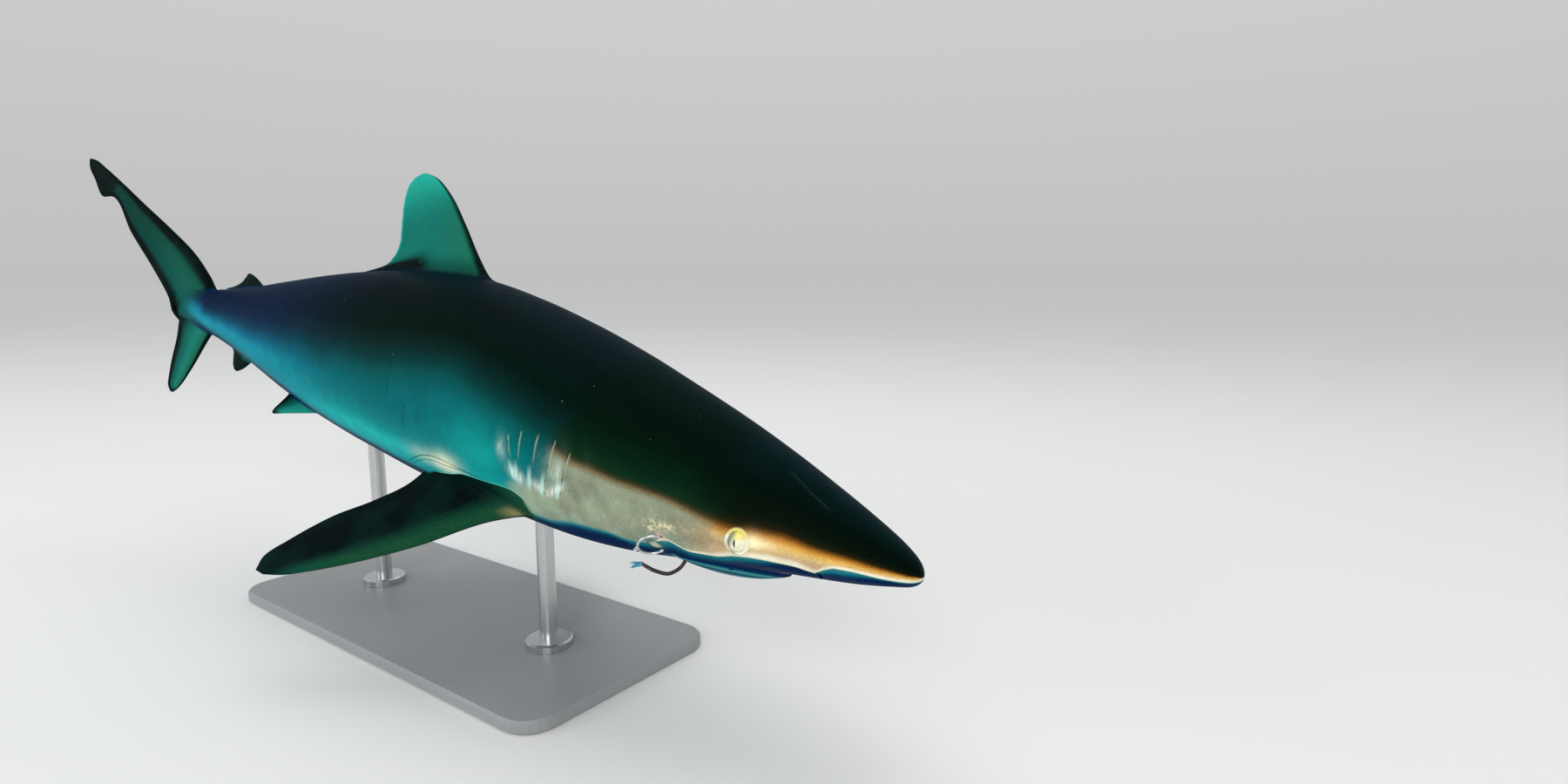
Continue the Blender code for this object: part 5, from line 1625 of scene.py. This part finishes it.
def make_sleeve(start, way):
    """A short rough sleeve whose end has split into ragged strips."""
    chance = np.random.default_rng(11)

    def some(least, more):
        return least + more * chance.random()

    side = unit(np.cross(way, (0.2, 0.4, 0.9)))
    other = np.cross(way, side)
    share = np.linspace(0.0, 1.0, SLEEVE_ROWS)[:, None]
    radii = SLEEVE_RADIUS * (SLEEVE_ROUGHNESS[0] + SLEEVE_ROUGHNESS[1] * chance.random(SLEEVE_ROWS))
    parts = [tube("core", start + way * SLEEVE_LENGTH * 0.72 * share, radii, 14)]
    t = np.linspace(0.0, 1.0, 9)[:, None]
    for number in range(FRAYS):
        turn = 2 * math.pi * (number + 0.5 * chance.random()) / FRAYS
        out = math.cos(turn) * side + math.sin(turn) * other
        length = SLEEVE_LENGTH * some(*FRAY_LENGTH)
        first = start + way * SLEEVE_LENGTH * some(*FRAY_START) + out * SLEEVE_RADIUS * 0.8
        bend = out * some(*FRAY_BEND) * t ** 2
        sag = np.cross(way, out) * (chance.random() - 0.5) * FRAY_SAG * t ** 2
        line = first + way * length * t + bend + sag
        parts.append(tube("fray", line, FRAY_WIDTH * (1.05 - t[:, 0]) + 0.0001, 6))
    return join("frayed_sleeve", parts)


# ---------------------------------------------------------------- floor, light and camera
FLOOR_ALBEDO, WORLD_LIGHT, PALE_RISE = 0.8, 0.66, 0.45
FLOOR_REACH = 60.0
CAMERA_AZIMUTH_DEG, CAMERA_ELEVATION_DEG, CAMERA_LENS_MM = 35.5, 8.0, 19.0
CAMERA_PLACE, CAMERA_SENSOR_MM, CAMERA_CLIP = (1.1688, -0.7359, 0.5507), 36.0, 0.02


def make_floor():
    r = FLOOR_REACH
    mesh = bpy.data.meshes.new("floor")
    mesh.from_pydata([(-r, -r, 0), (r, -r, 0), (r, r, 0), (-r, r, 0)], [], [(0, 1, 2, 3)])
    paint = Paint("floor_paint")
    paint.colour = paint.blend(paint.noise(1.6, 3.0), (0.785, 0.795, 0.8), (0.815, 0.82, 0.82))
    mesh.materials.append(paint.surface(0.7, specular=0.15))
    add_object("floor", mesh)


def make_world():
    """A pale studio surround, level in tone with the far floor at the horizon."""
    world = bpy.data.worlds.new("studio")
    world.use_nodes = True
    nodes, links = world.node_tree.nodes, world.node_tree.links
    split = nodes.new("ShaderNodeSeparateXYZ")
    links.new(nodes.new("ShaderNodeTexCoord").outputs["Generated"], split.inputs["Vector"])
    rise = nodes.new("ShaderNodeMapRange")
    for name, value in (("From Max", PALE_RISE), ("To Min", FLOOR_ALBEDO)):
        rise.inputs[name].default_value = value
    links.new(split.outputs["Z"], rise.inputs["Value"])
    links.new(rise.outputs["Result"], nodes["Background"].inputs["Color"])
    nodes["Background"].inputs["Strength"].default_value = WORLD_LIGHT
    bpy.context.scene.world = world


def soft_light(name, place, target, size, power, colour=(1.0, 1.0, 1.0)):
    data = bpy.data.lights.new(name, "AREA")
    data.shape = "RECTANGLE"
    data.size, data.size_y = size
    data.energy = power
    data.color = colour
    item = add_object(name, data)
    item.location = place
    item.rotation_euler = (Vector(target) - Vector(place)).to_track_quat("-Z", "Y").to_euler()


def make_lights():
    soft_light("key", (4.6, -6.6, 4.2), (0.1, 0.0, 0.35), (5.0, 4.0), 340.0, (1.0, 0.98, 0.95))
    soft_light("fill", (-5.4, -6.0, 3.0), (-0.3, 0.0, 0.4), (4.6, 3.4), 135.0, (0.94, 0.97, 1.0))
    soft_light("top", (-0.4, 0.8, 4.2), (-0.1, 0.0, 0.4), (4.0, 3.0), 45.0)


def make_camera():
    azimuth, elevation = math.radians(CAMERA_AZIMUTH_DEG), math.radians(CAMERA_ELEVATION_DEG)
    back = Vector((math.sin(azimuth) * math.cos(elevation), -math.cos(azimuth) * math.cos(elevation),
                   math.sin(elevation)))
    data = bpy.data.cameras.new("camera")
    data.sensor_width, data.lens, data.clip_start = CAMERA_SENSOR_MM, CAMERA_LENS_MM, CAMERA_CLIP
    camera = add_object("camera", data)
    camera.location = CAMERA_PLACE
    camera.rotation_euler = back.to_track_quat("Z", "Y").to_euler()
    bpy.context.scene.camera = camera


# ---------------------------------------------------------------- whole scene
SHARP_DEG = 55.0
FLESH = ("head", "lower_jaw", "gill_region", "trunk_front", "trunk_rear", "tail_front", "tail_stem",
         "dorsal_fin_1", "dorsal_fin_2", "anal_fin", "caudal_fin_upper", "caudal_fin_lower",
         "pectoral_fin_left", "pectoral_fin_right", "pelvic_fin_left", "pelvic_fin_right")


def give_material(item, material):
    item.data.materials.clear()
    item.data.materials.append(material)


def finish_piece(item, name, material, slot, *nodes):
    """Name a piece, give it its material, and let it stand in for its CAD nodes."""
    item.name = name
    item.data.name = name
    item.data.shade_smooth()
    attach(item, "root")
    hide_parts(*nodes)
    give_material(item, material)


def main():
    bpy.context.scene.view_settings.view_transform = "Standard"
    make_floor()
    make_world()
    make_lights()
    make_camera()
    skin = make_skin()
    distance = body_fields(skin.data)
    fin_fields(skin.data, distance)
    finish_piece(skin, "shark_skin", skin_material(), "shark_skin", *FLESH)
    skin.data.set_sharp_from_angle(angle=math.radians(SHARP_DEG))
    eye_finish = eye_material()
    for side, node in ((1, "eye_right"), (-1, "eye_left")):
        finish_piece(make_eye(side), "eyeball_" + node[4:], eye_finish, "shark_eye", node)
    bright = steel_material("bright_steel", (0.8, 0.82, 0.82), (0.42, 0.44, 0.45), 0.18)
    dark = steel_material("tarnished_steel", (0.06, 0.048, 0.044), (0.014, 0.011, 0.01), 0.36,
                          (0.13, 0.04, 0.016), 0.3)
    finish_piece(make_circle_hook(), "circle_hook", bright, "bright_steel", "hook_circle")
    shank, sleeve = make_shank_hook()
    finish_piece(shank, "shank_hook", dark, "tarnished_steel", "hook_shank")
    finish_piece(sleeve, "frayed_sleeve", sleeve_material(), "blue_sleeve", "hook_sleeve")
    give_material(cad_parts["stand_base"], board_material())
    rods = rod_material()
    for node in ("stand_rod_front", "stand_rod_rear"):
        give_material(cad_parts[node], rods)


main()
